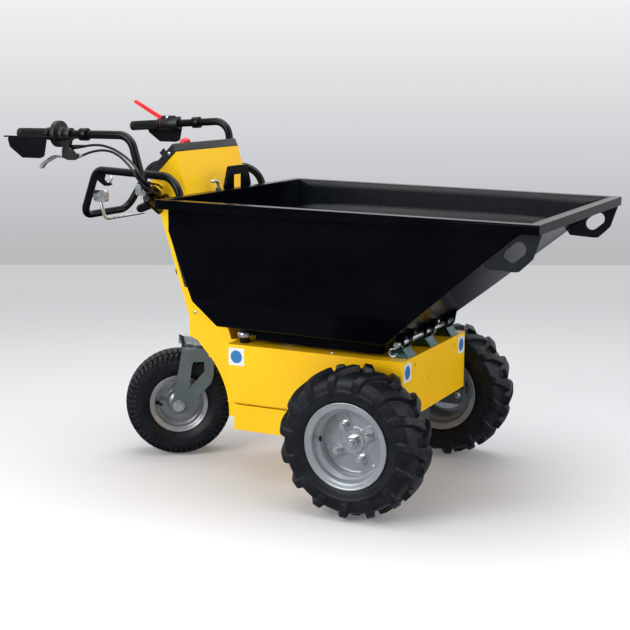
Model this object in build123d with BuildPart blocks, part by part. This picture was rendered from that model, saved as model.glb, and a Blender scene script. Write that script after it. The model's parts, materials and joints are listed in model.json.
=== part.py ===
"""Pedestrian-controlled electric site dumper on two driven wheels and a rear castor.

Millimetres, +X forward (the side the tub tips to), +Y to the machine's left, +Z up.
The origin is on the ground under the middle of the machine's length.
"""
from math import cos, radians, sin, tan
import os

from build123d import *

os.makedirs("parts", exist_ok=True)

# ---------------------------------------------------------------- driving sizes
plate = 3.0  # sheet steel of covers and column
seat_gap = 0.3  # between a curved face and the piece it rests on
run_gap = 0.05  # radial running clearance on pins and shafts
thrust_gap = 0.5  # sideways clearance beside a running hub

# drive wheels, 16 x 6.50-8
drive_radius = 205.0
drive_half = 75.0
drive_bead = 102.0
drive_flange = 117.5
drive_rim_half = 68.0
drive_track = 332.0
lug_height = 13.0
lug_count = 15
lug_width = 24.0
lug_sweep = 52.0
nut_circle = 50.0
nut_count = 4
disc_out = 6.0
shaft_radius = 20.0

# castor wheel, 13 x 5.00-6
castor_radius = 162.0
castor_half = 62.0
castor_bead = 76.5
castor_flange = 88.0
castor_rim_half = 50.0
castor_trail = 68.0
castor_yaw = 32.0
castor_behind = 681.0
fork_half = 70.0
fork_plate = 6.0
fork_top = 337.0
axle_bolt = 10.0
stem_radius = 15.0

# places along the machine, measured from the drive axle
hinge_ahead = 62.0
hinge_above = 38.0  # the hinge rod's centre over the body cover
rear_reach = 1124.0
tub_fall = 0.75  # degrees the resting tub points down towards its lip

# tub, in its own frame: forward of the hinge and above it
tub_wall = 4.0
rim_top = 370.0
rim_depth = 24.0
rim_rear = 630.0
rim_front = 433.0
rim_side_rear = 414.0
rim_side_front = 402.0
tub_floor = 7.0
ramp_foot = -14.7
ramp_slope = 40.4

front_reach = hinge_ahead + rim_front * cos(radians(tub_fall)) + rim_top * sin(radians(tub_fall))
axle_x = (rear_reach - front_reach) / 2

# body cover, frame and pan
cover_front = 92.0
cover_rear = 446.0
cover_half = 238.0
cover_top = 406.0
cover_bottom = 242.0
hinge_height = cover_top + hinge_above
frame_inset = 10.0
pan_rear = 427.0
pan_front = 112.0
pan_half = 235.0
pan_top = 232.0
pan_bottom = 158.0

# rear column and console
column_half = 177.0
column_front_foot = 467.0
column_rear_knee = 608.0
knee_height = 462.0
column_foot = 403.0
lid_overlap = 2.0

# handlebars and guard loop
bar_radius = 12.0
bar_half = 288.0
bar_height = 984.0
bar_rear = 1109.0
grip_radius = 15.5
grip_length = 112.0
loop_radius = 11.5


def save(name, part):
    part.label = name
    export_step(part, f"parts/{name}.step")


def side_plane(y):
    """The side view at y, X to the right and Z up, its normal towards -Y."""
    return Plane(origin=(0, y, 0), x_dir=(1, 0, 0), z_dir=(0, -1, 0))


def side_points(*points):
    """Side view points given forward of the drive axle and above the ground."""
    return [(axle_x + x, z) for x, z in points]


def space_points(*points):
    return [(axle_x + x, y, z) for x, y, z in points]


# ---------------------------------------------------------------- body
cover_length = cover_front + cover_rear
cover_middle = axle_x + (cover_front - cover_rear) / 2

with BuildPart() as chassis_cover:
    with BuildSketch(Plane.XY.offset(cover_bottom)):
        with Locations((cover_middle, 0)):
            Rectangle(cover_length, 2 * cover_half)
    extrude(amount=cover_top - cover_bottom)
    fillet(chassis_cover.edges().filter_by(Axis.Z), 5)
    with BuildSketch(Plane.XY.offset(cover_bottom)):
        with Locations((cover_middle, 0)):
            Rectangle(cover_length - 2 * plate, 2 * (cover_half - plate))
    extrude(amount=cover_top - cover_bottom - plate, mode=Mode.SUBTRACT)
    for y in (-150, 150):
        with BuildSketch(Plane.YZ.offset(axle_x + cover_front)):
            with Locations((y, cover_top - 23)):
                Circle(4)
        extrude(amount=-2 * plate, mode=Mode.SUBTRACT)
save("chassis_cover", chassis_cover.part)

with BuildPart() as chassis_frame:
    with BuildSketch(Plane.XY.offset(pan_top)):
        with Locations((cover_middle, 0)):
            Rectangle(cover_length - 2 * frame_inset, 2 * (cover_half - frame_inset))
    extrude(amount=cover_bottom - pan_top)
    with BuildSketch(Plane.XY.offset(cover_bottom)):
        with Locations((cover_middle, 0)):
            Rectangle(cover_length, 2 * cover_half)
            Rectangle(cover_length - 2 * frame_inset, 2 * (cover_half - frame_inset), mode=Mode.SUBTRACT)
    extrude(amount=-plate)
save("chassis_frame", chassis_frame.part)

with BuildPart() as lower_pan:
    with BuildSketch(Plane.XY.offset(pan_bottom)):
        with Locations((axle_x - (pan_rear + pan_front) / 2, 0)):
            Rectangle(pan_rear - pan_front, 2 * pan_half)
    extrude(amount=pan_top - pan_bottom)
    with BuildSketch(Plane.XY.offset(pan_bottom + plate)):
        with Locations((axle_x - (pan_rear + pan_front) / 2, 0)):
            Rectangle(pan_rear - pan_front - 2 * plate, 2 * (pan_half - plate))
    extrude(amount=pan_top - pan_bottom, mode=Mode.SUBTRACT)
save("lower_pan", lower_pan.part)

battery_half = 165.0
battery_rear = 390.0
battery_front = 130.0
battery_height = 120.0

with BuildPart() as battery_block:
    with BuildSketch(Plane.XY.offset(cover_bottom)):
        with Locations((axle_x - (battery_rear + battery_front) / 2, 0)):
            Rectangle(battery_rear - battery_front, 2 * battery_half)
    extrude(amount=battery_height)
save("battery_block", battery_block.part)

# ---------------------------------------------------------------- drive axle
gearbox_half = 100.0
gearbox_length = 84.0
gearbox_bottom = 150.0
tube_radius = 22.0
shaft_end = drive_track - 4
axle_flange_in = pan_half - 12
axle_flange_out = pan_half + 8
axle_flange_length = 190.0
axle_flange_bottom = 184.0
flange_corner = 22.0

with BuildPart() as drive_axle:
    with BuildSketch(Plane.XY.offset(gearbox_bottom)):
        with Locations((axle_x, 0)):
            RectangleRounded(gearbox_length, 2 * gearbox_half, 15)
    extrude(amount=pan_top - gearbox_bottom)
    with BuildSketch(side_plane(0)):
        with Locations((axle_x, drive_radius)):
            Circle(tube_radius)
    extrude(amount=axle_flange_out, both=True)
    for side in (-1, 1):
        with BuildSketch(side_plane(side * axle_flange_in)):
            with Locations((axle_x, pan_top)):
                RectangleRounded(axle_flange_length, 2 * (pan_top - axle_flange_bottom), flange_corner)
        extrude(amount=-side * (axle_flange_out - axle_flange_in))
        with BuildSketch(side_plane(side * axle_flange_out)):
            with Locations((axle_x, drive_radius)):
                Circle(shaft_radius)
        extrude(amount=-side * (shaft_end - axle_flange_out))
    # the axle is cut level under the frame
    with BuildSketch(Plane.XY.offset(pan_top)):
        with Locations((axle_x, 0)):
            Rectangle(cover_length, 2 * cover_half)
    extrude(amount=pan_top - axle_flange_bottom, mode=Mode.SUBTRACT)
save("drive_axle", drive_axle.part)

# ---------------------------------------------------------------- column and console
def front_edge(z):
    """Column front face above its waist, behind the drive axle, at height z."""
    return -waist[0] - (z - waist[1]) * 0.2843


def rear_edge(z):
    return -column_rear_knee - max(0.0, z - knee_height) * 0.3146


waist = (527.0, 528.0)
toe = (474.0, 430.0)
lid_front = 653.0
lid_rear = 733.0
lid_front_top = 959.0
lid_front_foot = 936.0
lid_rear_top = 880.0
lid_rear_foot = 853.0
arch_top = (-557.0, 366.0)
arch_middle = (-504.0, 297.0)
arch_foot = (-477.0, 180.0)
leg_foot = 178.0
sole = (-581.0, 393.0)

with BuildPart() as column_shell:
    with BuildSketch(side_plane(0)):
        with BuildLine():
            Polyline(*side_points(arch_top, sole, (-column_rear_knee, column_foot),
                                  (-column_rear_knee, knee_height),
                                  (rear_edge(lid_rear_foot), lid_rear_foot),
                                  (front_edge(lid_front_foot), lid_front_foot),
                                  (-waist[0], waist[1]), (-toe[0], toe[1]),
                                  (-column_front_foot, cover_top), (-cover_rear, cover_top),
                                  (-cover_rear, pan_top - plate), (-pan_rear, pan_top - plate),
                                  (-pan_rear, leg_foot), (arch_foot[0], leg_foot), arch_foot))
            ThreePointArc(*side_points(arch_foot, arch_middle, arch_top))
        make_face()
    extrude(amount=column_half, both=True)
    slant = plate * 1.05
    with BuildSketch(side_plane(0)):
        with BuildLine():
            Polyline(*side_points((-column_rear_knee + slant, leg_foot - 50),
                                  (-column_rear_knee + slant, knee_height),
                                  (rear_edge(lid_front_top) + slant, lid_front_top),
                                  (front_edge(lid_front_top) - slant, lid_front_top),
                                  (-waist[0] - slant, waist[1]), (-toe[0] - slant, toe[1]),
                                  (-column_front_foot - slant, cover_top - plate),
                                  (-cover_rear - plate, cover_top - plate),
                                  (-cover_rear - plate, leg_foot - 50)), close=True)
        make_face()
    extrude(amount=column_half - plate, both=True, mode=Mode.SUBTRACT)
save("column_shell", column_shell.part)

with BuildPart() as console_lid:
    with BuildSketch(side_plane(0)):
        with BuildLine():
            Polyline(*side_points((rear_edge(lid_rear_foot), lid_rear_foot), (-lid_rear, lid_rear_top),
                                  (-lid_front, lid_front_top), (front_edge(lid_front_foot), lid_front_foot)),
                     close=True)
        make_face()
    extrude(amount=column_half + lid_overlap, both=True)
    underside = console_lid.faces().sort_by(lambda face: face.normal_at().Z)[0]
    offset(amount=-plate, openings=underside)
save("console_lid", console_lid.part)


# the operator's panel: x along the slope up to the front, y to the machine's right
lid_low = (axle_x - lid_rear, lid_rear_top)
lid_high = (axle_x - lid_front, lid_front_top)
lid_up = (lid_high[0] - lid_low[0], 0, lid_high[1] - lid_low[1])
lid_out = (lid_low[1] - lid_high[1], 0, lid_high[0] - lid_low[0])
lid_plane = Plane(origin=(lid_low[0], 0, lid_low[1]), x_dir=lid_up, z_dir=lid_out)

stop_side = -62.0
stop_along = 86.0
stop_base = 8.0
stop_stem = 20.0
stop_height = 33.0
with BuildPart() as emergency_stop:
    with BuildSketch(lid_plane):
        with Locations((stop_along, stop_side)):
            Circle(20)
    extrude(amount=stop_base)
    with BuildSketch(lid_plane.offset(stop_base)):
        with Locations((stop_along, stop_side)):
            Circle(13)
    extrude(amount=stop_stem - stop_base)
    with BuildSketch(lid_plane.offset(stop_stem)):
        with Locations((stop_along, stop_side)):
            Circle(19)
    extrude(amount=stop_height - stop_stem)
    fillet(emergency_stop.faces().sort_by(Axis(lid_plane.origin, lid_plane.z_dir))[-1].edges(), 4)
save("emergency_stop", emergency_stop.part)

key_side = -128.0
key_along = 45.0
with BuildPart() as key_switch:
    with BuildSketch(lid_plane):
        with Locations((key_along, key_side)):
            Circle(12)
    extrude(amount=10)
    with BuildSketch(lid_plane.offset(10)):
        with Locations((key_along, key_side)):
            Rectangle(20, 2.5)
    extrude(amount=22)
save("key_switch", key_switch.part)

dome_height = 590.0
with BuildPart() as charging_dome:
    with BuildSketch(Plane.YZ.offset(axle_x + rear_edge(dome_height))):
        with Locations((-150, dome_height)):
            Circle(14)
    extrude(amount=-12)
    with BuildSketch(side_plane(0)):
        with BuildLine():
            Polyline(*side_points((rear_edge(cover_top) + 300, knee_height),
                                  (rear_edge(knee_height), knee_height),
                                  (rear_edge(lid_rear_foot), lid_rear_foot),
                                  (rear_edge(lid_rear_foot) + 300, lid_rear_foot)), close=True)
        make_face()
    extrude(amount=column_half, both=True, mode=Mode.SUBTRACT)
save("charging_dome", charging_dome.part)

# ---------------------------------------------------------------- castor mount
bearing_half = 50.0
bearing_top = 370.0
mount_top = 357.0
mount_bottom = 345.0
swivel_x = axle_x - castor_behind

with BuildPart() as castor_bearing:
    with BuildSketch(Plane.XY.offset(mount_bottom)):
        with Locations((swivel_x, 0)):
            RectangleRounded(2 * bearing_half, 2 * bearing_half, 8)
    extrude(amount=bearing_top - mount_bottom)
    with BuildSketch(Plane.XY.offset(fork_top + seat_gap)):
        with Locations((swivel_x, 0)):
            Circle(bearing_half - 12)
    extrude(amount=mount_bottom - fork_top - seat_gap)
    with BuildSketch(Plane.XY.offset(fork_top)):
        with Locations((swivel_x, 0)):
            Circle(stem_radius + run_gap)
    extrude(amount=bearing_top - fork_top - plate, mode=Mode.SUBTRACT)
save("castor_bearing", castor_bearing.part)

neck_half = 60.0
shelf_rear = 545.0
with BuildPart() as castor_mount:
    with BuildSketch(Plane.XY.offset(mount_bottom)):
        with BuildLine():
            Polyline(*[(axle_x - x, y) for x, y in (
                (castor_behind - bearing_half, -neck_half), (shelf_rear + 40, -neck_half),
                (shelf_rear, -column_half + plate), (cover_rear + plate, -column_half + plate),
                (cover_rear + plate, column_half - plate), (shelf_rear, column_half - plate),
                (shelf_rear + 40, neck_half), (castor_behind - bearing_half, neck_half))], close=True)
        make_face()
    extrude(amount=mount_top - mount_bottom)
    # upright post from the shelf to the inside of the column's rear plate
    with BuildSketch(Plane.XY.offset(mount_top)):
        with Locations((axle_x - column_rear_knee + 20, 0)):
            Rectangle(34, 2 * neck_half)
    extrude(amount=60)
    with BuildSketch(side_plane(0)):
        with BuildLine():
            Polyline(*side_points((-column_rear_knee + 3.2, mount_top), (-column_rear_knee + 3.2, 500),
                                  (-column_rear_knee - 80, 500), (-column_rear_knee - 80, mount_top)),
                     close=True)
        make_face()
    extrude(amount=column_half, both=True, mode=Mode.SUBTRACT)
save("castor_mount", castor_mount.part)

# ---------------------------------------------------------------- castor
yaw = radians(castor_yaw)
trail_dir = Vector(cos(yaw), sin(yaw), 0)  # from the castor's wheel towards its swivel
castor_left = Vector(-sin(yaw), cos(yaw), 0)
castor_centre = Vector(swivel_x, 0, castor_radius) - trail_dir * castor_trail


def fork_side(offset):
    """The castor's own side view, offset to its left, x measured forward of the swivel."""
    origin = Vector(swivel_x, 0, 0) + castor_left * offset
    return Plane(origin=origin, x_dir=trail_dir, z_dir=castor_left * -1)


castor_plane = Plane(origin=castor_centre, x_dir=castor_left, z_dir=trail_dir)
castor_axis = Axis(castor_centre, castor_left)
crown_half = 56.0
crown_front = 20.0
crown_thick = 6.0
boss_radius = 26.0
# side arm of the fork, forward of the swivel and height: its front edge from the crown down, its rear edge
# from the boss up, and the window between its two legs
arm_front = [(crown_front, fork_top), (38, 292), (30, 230)]
arm_rear = [(-castor_trail + 18, castor_radius - 19), (-castor_trail - 25, castor_radius - 6),
            (-castor_trail - 14, 201), (-crown_half - 6, 298), (-crown_half, fork_top)]
arm_window = [(-22, 298), (10, 297), (11, 268), (-13, 240), (-37, 214), (-33, 236), (-27, 284)]

with BuildPart() as castor_fork:
    for edge in (-1, 1):
        inner = fork_half - fork_plate / 2
        with BuildSketch(fork_side(edge * inner)):
            with BuildLine():
                ThreePointArc(*arm_front)
                Polyline(arm_front[-1], *arm_rear, arm_front[0])
            make_face()
            with Locations((-castor_trail, castor_radius)):
                Circle(boss_radius)
                Circle(axle_bolt + run_gap, mode=Mode.SUBTRACT)
            with BuildLine():
                Polyline(*arm_window, close=True)
            make_face(mode=Mode.SUBTRACT)
        extrude(amount=-edge * fork_plate)
    with BuildSketch(Plane.XY.offset(fork_top)):
        with BuildLine():
            corners = [(-crown_half, -1), (crown_front, -1), (crown_front, 1), (-crown_half, 1)]
            Polyline(*[((Vector(swivel_x, 0, 0) + trail_dir * a + castor_left * b * fork_half).X,
                        (Vector(swivel_x, 0, 0) + trail_dir * a + castor_left * b * fork_half).Y)
                       for a, b in corners], close=True)
        make_face()
    extrude(amount=-crown_thick)
    with BuildSketch(Plane.XY.offset(fork_top)):
        with Locations((swivel_x, 0)):
            Circle(stem_radius)
    extrude(amount=bearing_top - fork_top - plate - seat_gap)
save("castor_fork", castor_fork.part)

with BuildPart() as castor_axle:
    with BuildSketch(fork_side(0)):
        with Locations((-castor_trail, castor_radius)):
            Circle(axle_bolt)
    extrude(amount=fork_half + fork_plate / 2 + 14, both=True)
    for edge in (-1, 1):
        outer = fork_half + fork_plate / 2
        with BuildSketch(fork_side(edge * outer)):
            with Locations((-castor_trail, castor_radius)):
                Circle(18)
        extrude(amount=-edge * 3)
        with BuildSketch(fork_side(edge * (outer + 3))):
            with Locations((-castor_trail, castor_radius)):
                RegularPolygon(15, 6)
        extrude(amount=-edge * 10)
save("castor_axle", castor_axle.part)

# tyre sections from the bead to the middle of the tread: out from the middle, then radius
castor_tyre_half = [(castor_rim_half - 6, castor_bead), (castor_rim_half - 5, castor_flange + seat_gap),
                    (castor_half, 118), (castor_half, 134), (castor_half - 8, 149),
                    (castor_half - 24, 159), (0, castor_radius)]
with BuildPart() as castor_tyre:
    with BuildSketch(castor_plane):
        with BuildLine():
            Polyline(*castor_tyre_half, *[(-v, r) for v, r in castor_tyre_half[-2::-1]], close=True)
        make_face()
    revolve(axis=castor_axis)
save("castor_tyre", castor_tyre.part)

seat = castor_bead - seat_gap
castor_rim_out = [(castor_rim_half, castor_flange), (castor_rim_half - 4, castor_flange),
                  (castor_rim_half - 5, seat), (28, seat), (22, seat - 12)]
castor_rim_in = [(26, seat - 16), (32, seat - 4), (castor_rim_half - 1, seat - 4)]
with BuildPart() as castor_rim:
    with BuildSketch(castor_plane):
        with BuildLine():
            Polyline(*castor_rim_out, *[(-v, r) for v, r in castor_rim_out[::-1]],
                     *[(-v, r) for v, r in castor_rim_in[::-1]], *castor_rim_in, close=True)
        make_face()
        with Locations((0, (seat - 15 + 20) / 2)):
            Rectangle(6, seat - 15 - 20)
        with Locations((0, (24 + axle_bolt + run_gap) / 2)):
            Rectangle(2 * (fork_half - fork_plate / 2 - thrust_gap), 24 - axle_bolt - run_gap)
    revolve(axis=castor_axis)
save("castor_rim", castor_rim.part)

# ---------------------------------------------------------------- drive wheels
carcass_half = [(60, drive_bead), (drive_rim_half - 5, drive_flange + seat_gap), (71, 150), (64, 177),
                (38, 189), (0, drive_radius - lug_height)]
lug_envelope = [(drive_half - 1, 140), (drive_half, 172), (66, 193), (44, 202), (0, drive_radius)]
bead = drive_bead - seat_gap
rim_outer = [(drive_rim_half, drive_flange), (drive_rim_half - 4, drive_flange),
             (drive_rim_half - 5, bead), (42, bead), (34, bead - 14)]
rim_inner = [(38, bead - 18), (46, bead - 4), (drive_rim_half - 1, bead - 4)]
hub_radius = 66.0
boss_out = 30.0
disc_thick = 5.0
hub_in = disc_out - 14

for side, name in ((-1, "right"), (1, "left")):
    centre = (axle_x, side * drive_track, drive_radius)
    wheel_plane = Plane(origin=centre, x_dir=(0, side, 0), z_dir=(side, 0, 0))
    wheel_axis = Axis(centre, (0, side, 0))

    with BuildPart() as tyre:
        for half, sign in ((1, 1), (-1, -1)):
            for lug in range(lug_count):
                turn = radians(360 / lug_count * (lug + (0.5 if half < 0 else 0)))
                radial = Vector(sin(turn), 0, cos(turn))
                base = Vector(*centre) + radial * 150
                with BuildSketch(Plane(origin=base, x_dir=(0, side, 0), z_dir=radial)):
                    with BuildLine():
                        lean = side * lug_sweep
                        Polyline((-half * 6, -lug_width / 2), (half * 80, lean - lug_width / 2),
                                 (half * 80, lean + lug_width / 2), (-half * 6, lug_width / 2), close=True)
                    make_face()
                extrude(amount=60)
        with BuildSketch(wheel_plane):
            with BuildLine():
                Polyline(*lug_envelope, *[(-v, r) for v, r in lug_envelope[-2::-1]], close=True)
            make_face()
        revolve(axis=wheel_axis, mode=Mode.INTERSECT)
        with BuildSketch(wheel_plane):
            with BuildLine():
                Polyline(*carcass_half, *[(-v, r) for v, r in carcass_half[-2::-1]], close=True)
            make_face()
        revolve(axis=wheel_axis)
    save(f"tyre_{name}", tyre.part)

    with BuildPart() as rim:
        with BuildSketch(wheel_plane):
            with BuildLine():
                Polyline(*rim_outer, *[(-v, r) for v, r in rim_outer[::-1]],
                         *[(-v, r) for v, r in rim_inner[::-1]], *rim_inner, close=True)
            make_face()
            with Locations((disc_out + disc_thick / 2, (bead - 17 + boss_out + run_gap) / 2)):
                Rectangle(disc_thick, bead - 17 - boss_out - run_gap)
        revolve(axis=wheel_axis)
        with BuildSketch(side_plane(side * (drive_track + disc_out))):
            with Locations((axle_x, drive_radius)):
                with PolarLocations(nut_circle, nut_count, start_angle=30):
                    Circle(7 + run_gap)
        extrude(amount=-side * disc_thick, mode=Mode.SUBTRACT)
    save(f"rim_{name}", rim.part)

    with BuildPart() as hub:
        with BuildSketch(side_plane(side * (drive_track + hub_in))):
            with Locations((axle_x, drive_radius)):
                Circle(hub_radius)
        extrude(amount=-side * (disc_out - hub_in))
        with BuildSketch(side_plane(side * (drive_track + hub_in - 40))):
            with Locations((axle_x, drive_radius)):
                Circle(boss_out + 6)
        extrude(amount=-side * 40)
        with BuildSketch(side_plane(side * (drive_track + disc_out))):
            with Locations((axle_x, drive_radius)):
                Circle(boss_out)
        extrude(amount=-side * (disc_thick + 4))
        face = drive_track + disc_out + disc_thick
        with BuildSketch(side_plane(side * (face + 4))):
            with Locations((axle_x, drive_radius)):
                RegularPolygon(18, 6)
        extrude(amount=-side * 14)
        with BuildSketch(side_plane(side * (face + 18))):
            with Locations((axle_x, drive_radius)):
                Circle(9)
        extrude(amount=-side * 8)
        with BuildSketch(side_plane(side * (drive_track + disc_out))):
            with Locations((axle_x, drive_radius)):
                with PolarLocations(nut_circle, nut_count, start_angle=30):
                    Circle(7)
        extrude(amount=-side * (disc_thick + 24))
        with BuildSketch(side_plane(side * face)):
            with Locations((axle_x, drive_radius)):
                with PolarLocations(nut_circle, nut_count, start_angle=30):
                    Circle(14)
        extrude(amount=-side * 2)
        with BuildSketch(side_plane(side * (face + 2))):
            with Locations((axle_x, drive_radius)):
                with PolarLocations(nut_circle, nut_count, start_angle=30):
                    RegularPolygon(12, 6)
        extrude(amount=-side * 14)
        with BuildSketch(side_plane(side * (drive_track + hub_in - 40))):
            with Locations((axle_x, drive_radius)):
                Circle(shaft_radius + run_gap)
        extrude(amount=-side * (shaft_end - (drive_track + hub_in - 40) + thrust_gap), mode=Mode.SUBTRACT)
    save(f"hub_{name}", hub.part)

# ---------------------------------------------------------------- tub
fall = radians(tub_fall)
hinge_x = axle_x + hinge_ahead
tub_up = Vector(sin(fall), 0, cos(fall))
tub_ahead = Vector(cos(fall), 0, -sin(fall))
hinge_point = Vector(hinge_x, 0, hinge_height)


def tub_level(height):
    return Plane(origin=hinge_point + tub_up * height, x_dir=tub_ahead, z_dir=tub_up)


def tub_side(y):
    return Plane(origin=hinge_point + Vector(0, y, 0), x_dir=tub_ahead, z_dir=(0, -1, 0))


def ramp_at(height):
    """Forward place of the ramp's outer face at a height of the tub."""
    return ramp_foot + (height - tub_floor) / tan(radians(ramp_slope))


# height, rear end, half width at the rear and at the ramp
tub_sections = (
    (tub_floor, -525.0, 264.0, 258.0),
    (80.0, -583.0, 302.0, 308.0),
    (283.0, -606.0, 383.0, 374.0),
    (rim_top, -606.0, 384.0, 375.0),
)


def tub_corners(section, inset):
    height, rear, half_rear, half_front = section
    front = ramp_at(height) - inset * 1.5
    return [(rear + inset, -half_rear + inset), (front, -half_front + inset),
            (front, half_front - inset), (rear + inset, half_rear - inset)]


def between(low, high, height):
    share = (height - low[0]) / (high[0] - low[0])
    return tuple(a + (b - a) * share for a, b in zip(low, high))


wall = tub_wall * 1.15
inner_floor = between(tub_sections[0], tub_sections[1], tub_floor + tub_wall)
with BuildPart() as tub_shell:
    for section in tub_sections:
        with BuildSketch(tub_level(section[0])):
            with BuildLine():
                Polyline(*tub_corners(section, 0), close=True)
            make_face()
    loft(ruled=True)
    for section in (inner_floor, *tub_sections[1:]):
        with BuildSketch(tub_level(section[0])):
            with BuildLine():
                Polyline(*tub_corners(section, wall), close=True)
            make_face()
    loft(ruled=True, mode=Mode.SUBTRACT)
save("tub_shell", tub_shell.part)

rim_low = rim_top - rim_depth
flange = tub_wall
with BuildPart() as tub_rim:
    with BuildSketch(tub_level(rim_low)):
        with BuildLine():
            Polyline((-rim_rear, -rim_side_rear), (rim_front, -rim_side_front),
                     (rim_front, rim_side_front), (-rim_rear, rim_side_rear), close=True)
        make_face()
    extrude(amount=rim_depth)
    fillet(tub_rim.edges().filter_by(Axis(hinge_point, tub_up)), 5)
    with BuildSketch(tub_level(rim_low)):
        with BuildLine():
            Polyline((flange - rim_rear, flange - rim_side_rear),
                     (rim_front - flange, flange - rim_side_front),
                     (rim_front - flange, rim_side_front - flange),
                     (flange - rim_rear, rim_side_rear - flange), close=True)
        make_face()
    extrude(amount=rim_depth - flange, mode=Mode.SUBTRACT)
    add(tub_shell.part, mode=Mode.SUBTRACT)
    with BuildSketch(tub_level(rim_top - 40)):
        with BuildLine():
            Polyline(*tub_corners(tub_sections[3], 1), close=True)
        make_face()
    extrude(amount=80, mode=Mode.SUBTRACT)
save("tub_rim", tub_rim.part)

# ---------------------------------------------------------------- tub fittings
ear_out = tub_sections[3][3] - 1
ear_thick = 8.0
ear_rear = 264.0
ear_nose = ((rim_front - 2, rim_low), (rim_front - 21, 285), (400, 272), (378, 251), (365, 250), (296, 253))
ear_hole = (368.0, 298.0)
ear_hole_lean = 40.0
ear_hole_long = 60.0
ear_hole_wide = 36.0
with BuildPart() as tub_ears:
    for side in (-1, 1):
        with BuildSketch(tub_side(side * ear_out)):
            with BuildLine():
                Polyline((ramp_at(ear_rear), ear_rear), (ramp_at(rim_low), rim_low), *ear_nose, close=True)
            make_face()
            with Locations(Location(ear_hole, ear_hole_lean)):
                SlotOverall(ear_hole_long, ear_hole_wide, mode=Mode.SUBTRACT)
        extrude(amount=side * ear_thick)
save("tub_ears", tub_ears.part)

lift_thick = 8.0
lift_x = -611.0
lift_height = 68.0
lift_slot = 42.0
with BuildPart() as lift_plate:
    with BuildSketch(Plane(origin=hinge_point + tub_ahead * lift_x + tub_up * rim_top, x_dir=(0, 1, 0),
                           z_dir=tub_ahead)):
        with BuildLine():
            Polyline((-79, 0), (-53, lift_height), (53, lift_height), (79, 0), close=True)
        make_face()
        fillet(vertices().group_by(Axis.Z)[-1], 10)
        with Locations((0, lift_slot / 2)):
            Rectangle(51, lift_slot, mode=Mode.SUBTRACT)
    extrude(amount=lift_thick / 2, both=True)
save("lift_plate", lift_plate.part)

rod_radius = 8.0
lug_round = 13.0
hinge_places = (-163.0, 0.0, 163.0)
bracket_half = 26.0
bracket_plate = 4.0
bracket_rear = 30.0
bracket_front = 26.0
web_height = 25.0
web_top = 8.0  # the sloping web's upper edge, forward of the rod
lug_half = bracket_half + 1.5
lug_plate = 5.0

with BuildPart() as hinge_rod:
    with BuildSketch(side_plane(0)):
        with Locations((hinge_x, hinge_height)):
            Circle(rod_radius)
    extrude(amount=hinge_places[2] + bracket_half + 24, both=True)
save("hinge_rod", hinge_rod.part)

with BuildPart() as hinge_brackets:
    for y in hinge_places:
        for edge in (-1, 1):
            with BuildSketch(side_plane(y + edge * bracket_half)):
                with BuildLine():
                    Polyline((hinge_x - bracket_rear, cover_top), (hinge_x + bracket_front, cover_top),
                             (hinge_x + web_top, cover_top + web_height),
                             (hinge_x + lug_round, hinge_height), (hinge_x - lug_round, hinge_height),
                             close=True)
                make_face()
                with Locations((hinge_x, hinge_height)):
                    Circle(lug_round)
                    Circle(rod_radius + run_gap, mode=Mode.SUBTRACT)
            extrude(amount=edge * bracket_plate)
        with BuildSketch(side_plane(y)):
            with BuildLine():
                Polyline((hinge_x + bracket_front, cover_top), (hinge_x + web_top, cover_top + web_height),
                         (hinge_x + web_top - bracket_plate, cover_top + web_height),
                         (hinge_x + bracket_front - bracket_plate, cover_top), close=True)
            make_face()
        extrude(amount=bracket_half, both=True)
save("hinge_brackets", hinge_brackets.part)

lug_low = 12.0
lug_high = 36.0
with BuildPart() as hinge_lugs:
    for y in hinge_places:
        for edge in (-1, 1):
            with BuildSketch(tub_side(y + edge * lug_half)):
                Circle(lug_round)
                with BuildLine():
                    Polyline((-lug_round, 0), (ramp_at(lug_low), lug_low), (ramp_at(lug_high), lug_high),
                             (lug_round, 0), close=True)
                make_face()
                Circle(rod_radius + run_gap, mode=Mode.SUBTRACT)
            extrude(amount=-edge * lug_plate)
        with BuildSketch(tub_side(y)):
            with BuildLine():
                Polyline((ramp_foot - 60, tub_floor), (ramp_foot, tub_floor), (ramp_at(120), 120),
                         (ramp_at(120) - 200, 120), close=True)
            make_face()
        extrude(amount=100, both=True, mode=Mode.SUBTRACT)
save("hinge_lugs", hinge_lugs.part)

runner_in = 120.0
runner_mid = 160.0
runner_out = 210.0
runner_rear = -490.0
runner_step = -430.0
runner_front = -44.0
runner_bottom = -30.0
with BuildPart() as tub_runners:
    for side in (-1, 1):
        for rear, outer in ((runner_rear, runner_mid), (runner_step, runner_out)):
            with BuildSketch(tub_side(side * (runner_in + outer) / 2)):
                with Locations(((rear + runner_front) / 2, (runner_bottom + tub_floor) / 2)):
                    Rectangle(runner_front - rear, tub_floor - runner_bottom)
            extrude(amount=(outer - runner_in) / 2, both=True)
save("tub_runners", tub_runners.part)

buffer_place = (-410.0, 198.0)
with BuildPart() as tub_buffers:
    for y in (-buffer_place[1], buffer_place[1]):
        with BuildSketch(Plane.XY.offset(cover_top)):
            with Locations((axle_x + buffer_place[0], y)):
                Circle(15)
        extrude(amount=80)
    split(bisect_by=tub_level(tub_floor), keep=Keep.BOTTOM)
save("tub_buffers", tub_buffers.part)

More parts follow.
